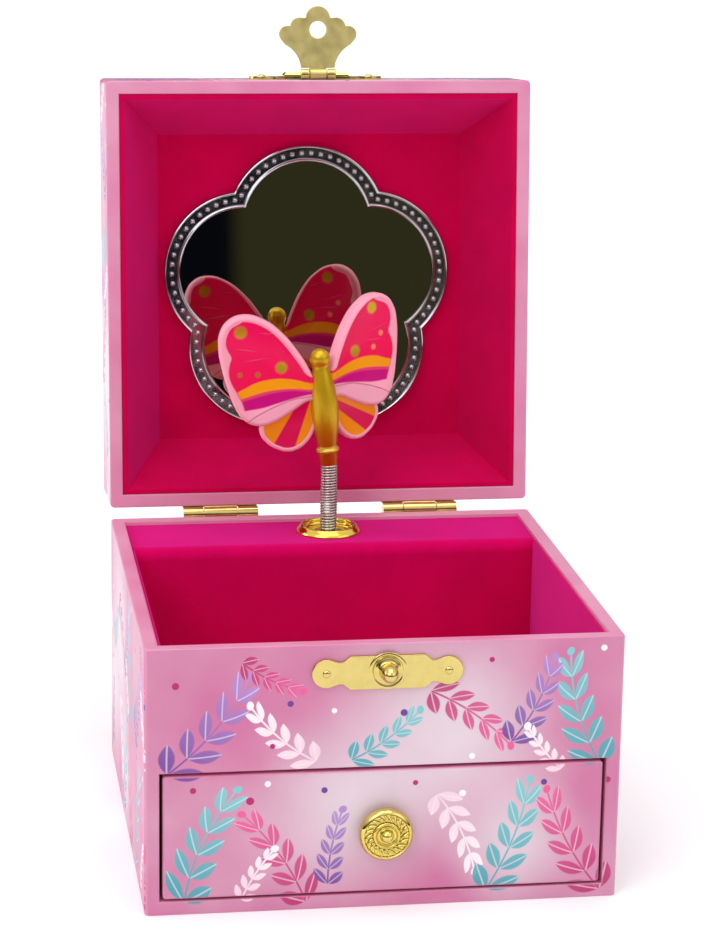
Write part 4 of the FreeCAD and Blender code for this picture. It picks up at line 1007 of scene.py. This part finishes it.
def make_nails():
    nail = turned(NAIL, 20)
    for node, body, facing in (("catch_nails", "box", FACING_FRONT), ("hinge_box_nails", "box", FACING_BACK),
                               ("hasp_nails", "lid", turn(90 - LID_OPEN, "X")),
                               ("hinge_lid_nails", "lid", turn(-90 - LID_OPEN, "X"))):
        nails = [place(again(nail), Matrix.Translation(middle) @ facing @ at(0, 0, -NAIL_MIDDLE))
                 for middle in nail_spots(node)]
        brass(joined(nails), node, body)
    bpy.data.objects.remove(nail)


def make_catch_stud():
    stud = place(turned(CATCH_STUD), at(*CATCH) @ FACING_FRONT)
    finish(stud, "catch_ball", "box", BRASS, ["catch_stud"])


def make_figure_ring():
    ring = place(turned(EYELET, 72), at(FOOT[0], FOOT[1], SHELF_TOP))
    finish(ring, "figure_eyelet", "box", GILT, ["figure_ring"])


def make_knob():
    """Dished knob: a smooth edge, a twisted rope inside it, a ridge and a ball in the middle."""
    dish = turned(KNOB_DISH, 72)
    deselect()
    bpy.ops.mesh.primitive_uv_sphere_add(segments=12, ring_count=8, radius=mm)
    strand = place(bpy.context.object, turn(ROPE_TWIST, "Z") @ Matrix.Diagonal((*STRAND_HALVES, 1)))
    rope = [place(again(strand), turn(360 * i / ROPE_STRANDS, "Z") @ at(ROPE_RADIUS, 0, ROPE_HEIGHT))
            for i in range(ROPE_STRANDS)]
    bpy.data.objects.remove(strand)
    knob = place(joined([dish] + rope), at(*KNOB) @ FACING_FRONT)
    finish(knob, "knob_brass", "drawer", KNOB_BRASS, ["drawer_knob"])


def make_key():
    finish(edged("winding_key", 0.3, 3), "key_steel", "key", STEEL, ["winding_key"])


# Mirror

FRAME_HEIGHT = 2.2
FRAME_HALF = 2.1
CHANNEL = 0.9
FRAME_SECTION = [(-FRAME_HALF, FRAME_HEIGHT), (-FRAME_HALF, 0.35), (-1.95, 0.08), (-1.7, 0), (-1.5, 0.12),
                 (-1.38, 0.45), (-1.3, CHANNEL), (1.42, CHANNEL), (1.52, 0.45), (1.62, 0.14), (1.78, 0.02),
                 (1.97, 0.1), (FRAME_HALF, 0.35), (FRAME_HALF, FRAME_HEIGHT), (-FRAME_HALF, FRAME_HEIGHT)]
FRAME_LOW = MIRROR_BACK - FRAME_HEIGHT
BEAD = [(0, -0.05), (0.68, -0.05), (0.66, 0.22), (0.56, 0.44), (0.38, 0.6), (0.18, 0.67), (0, 0.69)]
BEADS = 18
PANE = 1.2
# The frame's middle line, and the angle from a lobe's middle at which it meets the next lobe's
LOBE_LINE = LOBE_RADIUS - FRAME_HALF
LOBE_SWEEP = math.degrees(math.atan2(17.80, 6.90))
LOBE_CUT = 5


def frame_lobe():
    """A ridged section spun about one lobe and cut off where the neighbouring lobes begin."""
    draw([(LOBE_DISTANCE + LOBE_LINE + x, FRAME_LOW + z) for x, z in FRAME_SECTION], False)
    spin(96, LOBE_DISTANCE)
    lean = math.pi / LOBES
    cuts = [((0, 0, 0), (-math.sin(lean), side * math.cos(lean), 0)) for side in (-1, 1)]
    for middle, away in cuts + [((LOBE_CUT * mm, 0, 0), (-1, 0, 0))]:
        bpy.ops.mesh.select_all(action="SELECT")
        bpy.ops.mesh.bisect(plane_co=middle, plane_no=away, clear_outer=True)
    return leave()


def make_mirror_frame():
    """One lobe of the frame with its beads, copied round."""
    pieces = [frame_lobe()]
    bead = turned(BEAD, 12)
    for i in range(BEADS):
        angle = -LOBE_SWEEP + 2 * LOBE_SWEEP * (i + 0.5) / BEADS
        pieces.append(place(again(bead), at(LOBE_DISTANCE, 0, FRAME_LOW + CHANNEL) @ turn(angle, "Z")
                            @ at(LOBE_LINE, 0, 0) @ turn(180, "X")))
    bpy.data.objects.remove(bead)
    petal = joined(pieces)
    petals = [petal] + [again(petal) for _ in range(LOBES - 1)]
    for i, one in enumerate(petals):
        place(one, LID_SWING @ at(*MIRROR_MIDDLE, 0) @ turn(-90 + 360 * i / LOBES, "Z"))
    edit(joined(petals))
    bpy.ops.mesh.remove_doubles(threshold=0.02 * mm)
    finish(leave(), "mirror_bead_frame", "lid", SILVER, ["mirror_frame"], 30)


def make_mirror_pane():
    outline = []
    for i in range(LOBES):
        angle = 2 * math.pi * i / LOBES - math.pi / 2
        cosine, sine = math.cos(angle), math.sin(angle)
        for x, y in arc(LOBE_DISTANCE, 0, LOBE_LINE, -LOBE_SWEEP, LOBE_SWEEP, 20)[:-1]:
            outline.append((x * cosine - y * sine, x * sine + y * cosine))
    draw(outline, True)
    extrude(0, PANE, 0)
    weld()
    pane = soften(leave(), 0.2, 2, 60)
    place(pane, LID_SWING @ at(*MIRROR_MIDDLE, MIRROR_BACK - PANE) @ turn(90, "X")
          @ Matrix.Diagonal((1, 1, -1, 1)))
    edit(pane)
    bpy.ops.mesh.normals_make_consistent(inside=False)
    finish(leave(), "mirror_pane", "lid", MIRROR, ["mirror_glass"], 20)


# Figure

COIL_RADIUS = 1.92
WIRE = 0.28
COILS = 24
PITCH = 0.7133
COIL_STEPS = 28


def make_spring():
    """Close-wound coil: a wire section run up a screw."""
    deselect()
    bpy.ops.mesh.primitive_circle_add(vertices=10, radius=WIRE * mm, location=(0, 0, 0),
                                      rotation=(math.pi / 2, 0, 0))
    coil = bpy.context.object
    bpy.ops.object.transform_apply(location=True, rotation=True, scale=True)
    edit(coil)
    bpy.ops.transform.translate(value=(COIL_RADIUS * mm, 0, 0))
    leave()
    screw = coil.modifiers.new("coil", "SCREW")
    screw.axis = "Z"
    screw.angle = 2 * math.pi
    screw.screw_offset = PITCH * mm
    screw.iterations = COILS
    screw.steps = COIL_STEPS
    screw.render_steps = COIL_STEPS
    screw.use_merge_vertices = False
    apply(coil, screw)
    edit(coil)
    bpy.ops.mesh.select_all(action="DESELECT")
    bpy.ops.mesh.select_non_manifold()
    bpy.ops.mesh.edge_face_add()
    weld(0.001)
    leave()
    place(coil, at(FOOT[0], FOOT[1], SPRING_LOW + WIRE))
    named(coil, "close_coil", 50)
    dress(coil, STEEL)
    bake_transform(coil)
    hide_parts("pop_up_spring")


FIGURE_BODY = [(0, 0), (1.95, 0), (2.05, 0.12), (2.56, 3.4), (2.54, 3.64), *arc(2.35, 4.3, 0.6, -75, 75, 8),
               (2.44, 4.95), (2.5, 5.6), (2.72, 7.1), (3.05, 8.9), (3.36, 10.6), (3.56, 12.6), (3.65, 14.6),
               (3.63, 16.4), (3.5, 18.2), (3.28, 20.0), (2.95, 22.0), (2.55, 23.8), (2.27, 24.9), (2.1, 25.6),
               (2.04, 26.1), *arc(0, 28.17, 2.6, -38, 90, 14)]


def make_figure_body():
    body = place(turned(FIGURE_BODY, 56), FIGURE_PLACE)
    finish(body, "figure_gold", "figure", GOLD_PAINT_AND_REFLECTION, ["figure_body"], 60)


FORE_OUTLINE = [(1.6, 18.2), (1.8, 22.0), (2.7, 25.2), (5.6, 31.0), (9.0, 35.9), (13.2, 39.7), (18.0, 41.5),
                (22.2, 40.5), (24.7, 37.4), (25.4, 33.5), (25.0, 28.0), (24.0, 22.6), (22.7, 18.0),
                (20.6, 14.4), (17.4, 12.7), (13.4, 13.1), (10.2, 14.5), (7.2, 16.1), (4.4, 17.6)]
HIND_OUTLINE = [(1.6, 17.6), (4.5, 19.6), (9.0, 18.8), (13.4, 16.6), (16.4, 13.6), (17.0, 10.8), (15.5, 7.9),
                (13.0, 6.0), (10.4, 5.1), (7.8, 5.4), (5.2, 7.0), (3.2, 9.6), (2.0, 12.6)]
# Outline, thickness, roundness of the rim, width of the flat rim, and finish
WINGS = {"fore": (FORE_OUTLINE, 3.6, 0.9, 0.15, fore_wing), "hind": (HIND_OUTLINE, 2.6, 0.7, 0.1, hind_wing)}
PANEL_SLOPE = 0.3
PANEL_DEPTH = 0.22
PANEL_LEAST = 20


def smooth_outline(points):
    """A closed curve through points, drawn with automatic handles and turned into a mesh."""
    deselect()
    bpy.ops.curve.primitive_bezier_circle_add(radius=mm, location=(0, 0, 0))
    drawing = bpy.context.object
    spline = drawing.data.splines[0]
    spline.bezier_points.add(len(points) - len(spline.bezier_points))
    for knot, (x, z) in zip(spline.bezier_points, points):
        knot.co = Vector((x, 0, z)) * mm
        knot.handle_left_type = knot.handle_right_type = "AUTO"
    drawing.data.resolution_u = 8
    drawing.data.dimensions = "3D"
    bpy.ops.object.convert(target="MESH")
    return bpy.context.object


def padded_wing(points, thickness, rim, flat_rim):
    """A flat wing with a rounded rim and a painted panel sunk into both faces."""
    wing = smooth_outline(points)
    edit(wing)
    bpy.ops.mesh.remove_doubles(threshold=0.01 * mm)
    bpy.ops.mesh.edge_face_add()
    bpy.ops.transform.translate(value=(0, thickness / 2 * mm, 0))
    extrude(0, -thickness, 0)
    weld(0.01)
    soften(leave(), rim, 4, 60)
    wing.data.materials.append(None)
    wing.data.materials.append(None)
    for side in (-1, 1):
        pick(wing, "FACE", lambda face: face.normal.y * side > 0.99
             and face.calc_area() > PANEL_LEAST * mm * mm)
        bpy.ops.mesh.inset(thickness=flat_rim * mm, depth=0, use_even_offset=True)
        bpy.ops.mesh.inset(thickness=PANEL_SLOPE * mm, depth=-PANEL_DEPTH * mm, use_even_offset=True)
        wing.active_material_index = 1
        bpy.ops.object.material_slot_assign()
        leave()
    return wing


def make_wings():
    for name, side in (("left", -1), ("right", 1)):
        for part, (outline, thickness, rim, flat_rim, painted) in WINGS.items():
            wing = padded_wing(outline, thickness, rim, flat_rim)
            if side < 0:
                edit(place(wing, Matrix.Diagonal((-1, 1, 1, 1))))
                bpy.ops.mesh.normals_make_consistent(inside=False)
                leave()
            place(wing, wing_matrix(side))
            named(wing, "%s_%s_wing" % (name, part), 40)
            paint = painted("%s_%s_paint" % (name, part), side)
            wing.data.materials[0] = WING_RIM if part == "hind" else paint
            wing.data.materials[1] = paint
            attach(wing, "figure")
            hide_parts(name + "_wing")


def dress_inner_pieces():
    """Pieces that keep their CAD shape and only need a finish."""
    finishes = {
        BOARD: ["compartment_floor", "bay_partition", "drawer_left_side", "drawer_right_side", "drawer_back",
                "drawer_bottom"],
        BRASS: ["hinge_pins", "hasp_pin"],
        AGED_BRASS: ["movement_plate", "barrel", "barrel_cap", "pinned_cylinder", "governor"],
        STEEL: ["mainspring", "comb"],
        PLAIN_STEEL: ["movement_screws", "comb_screws", "drawer_knob_screw", "winding_arbor",
                      "left_cylinder_bracket", "right_cylinder_bracket", "governor_bracket", "spindle",
                      "spindle_bracket"],
    }
    for look, names in finishes.items():
        for name in names:
            dress(cad[name], look)


# Studio, in metres

FULL_WHITE = (1.0, 1.0, 1.0, 1.0)
# Name, place, height of the point aimed at, size and power
LAMPS = (("key", (-0.75, -0.9, 1.1), 0.09, 0.9, 5.5), ("fill", (0.9, -0.7, 0.6), 0.08, 1.0, 1.8),
         ("side", (-1.3, 0.5, 0.45), 0.08, 0.8, 5.5), ("top", (0.0, -0.1, 1.3), 0.05, 1.0, 6.0))
# The camera as fitted to the box's edges: its turn is an axis as long as the angle
CAMERA_PLACE = (-0.10256, -0.66675, 0.26468)
CAMERA_TURN = Vector((0.2525, -0.0021, 0.1517))
CAMERA_LENS = 112.08
CAMERA_SENSOR = 36.0


def make_floor():
    """White sheet that glows a little more with distance, as a lit studio sweep does."""
    deselect()
    bpy.ops.mesh.primitive_plane_add(size=4.4, location=(0, 1.5, 0))
    floor = take(bpy.context.object)
    bpy.ops.object.transform_apply(location=True, rotation=True, scale=True)
    floor.name = "floor"
    f = Finish("floor_white", Roughness=0.9, Specular_IOR_Level=0.1, Emission_Strength=1.0)
    here = f.coordinates("Object")
    glow = f.graded(f.vector("LENGTH", here), 0.15, 0.9, 0.12, 0.55)
    f.feed(Base_Color=f.mix(f.noise(here, 3.0), rgb("FFFFFF"), rgb("FBFBFB")), Emission_Color=f.grey(glow))
    floor.data.materials.append(f.look)


def make_world():
    """Even white light; polished pieces see a dim room, darker on one side, under a bright ceiling."""
    world = bpy.data.worlds.new("studio")
    bpy.context.scene.world = world
    world.use_nodes = True
    world.node_tree.nodes.clear()
    n = Nodes(world.node_tree)
    ray = n.add("LightPath").outputs
    side, _, height = n.split(n.add("TexCoord").outputs["Generated"])
    corner = n.times(n.graded(side, -0.1, -0.06), n.graded(side, 0.1455, 0.139))
    wall = n.mix(corner, rgb("3A3824"), rgb("0A0C14"))
    room = n.add("Background", n.mix(n.graded(height, 0.12, 0.5), wall, FULL_WHITE), 1.0).outputs[0]
    soft = n.add("Background", FULL_WHITE, 0.56).outputs[0]
    white = n.add("Background", FULL_WHITE, 1.0).outputs[0]
    lit = n.add("MixShader", ray["Is Glossy Ray"], soft, room).outputs[0]
    seen = n.add("MixShader", ray["Is Camera Ray"], lit, white).outputs[0]
    n.add("OutputWorld", seen)


def make_lamps():
    for name, middle, aim, size, power in LAMPS:
        deselect()
        bpy.ops.object.light_add(type="AREA", location=middle)
        light = bpy.context.object
        light.name = name
        light.data.size = size
        light.data.energy = power
        light.rotation_euler = (Vector((0, 0, aim)) - Vector(middle)).to_track_quat("-Z", "Y").to_euler()


def make_camera():
    deselect()
    bpy.ops.object.camera_add()
    camera = bpy.context.object
    camera.name = "camera"
    camera.data.lens = CAMERA_LENS
    camera.data.sensor_width = CAMERA_SENSOR
    camera.data.clip_end = 20.0
    right, ahead, up = Matrix.Rotation(CAMERA_TURN.length, 3, CAMERA_TURN)
    facing = Matrix((right, up, -ahead)).transposed().to_4x4()
    camera.matrix_world = Matrix.Translation(CAMERA_PLACE) @ facing
    bpy.context.scene.camera = camera


bpy.context.scene.view_settings.view_transform = "Standard"
make_case()
make_lid()
make_lid_lining()
make_other_linings()
make_drawer_front()
make_plates()
make_hasp_flap()
make_nails()
make_catch_stud()
make_figure_ring()
make_knob()
make_key()
make_mirror_frame()
make_mirror_pane()
make_spring()
make_figure_body()
make_wings()
dress_inner_pieces()
make_floor()
make_world()
make_lamps()
make_camera()

deselect()
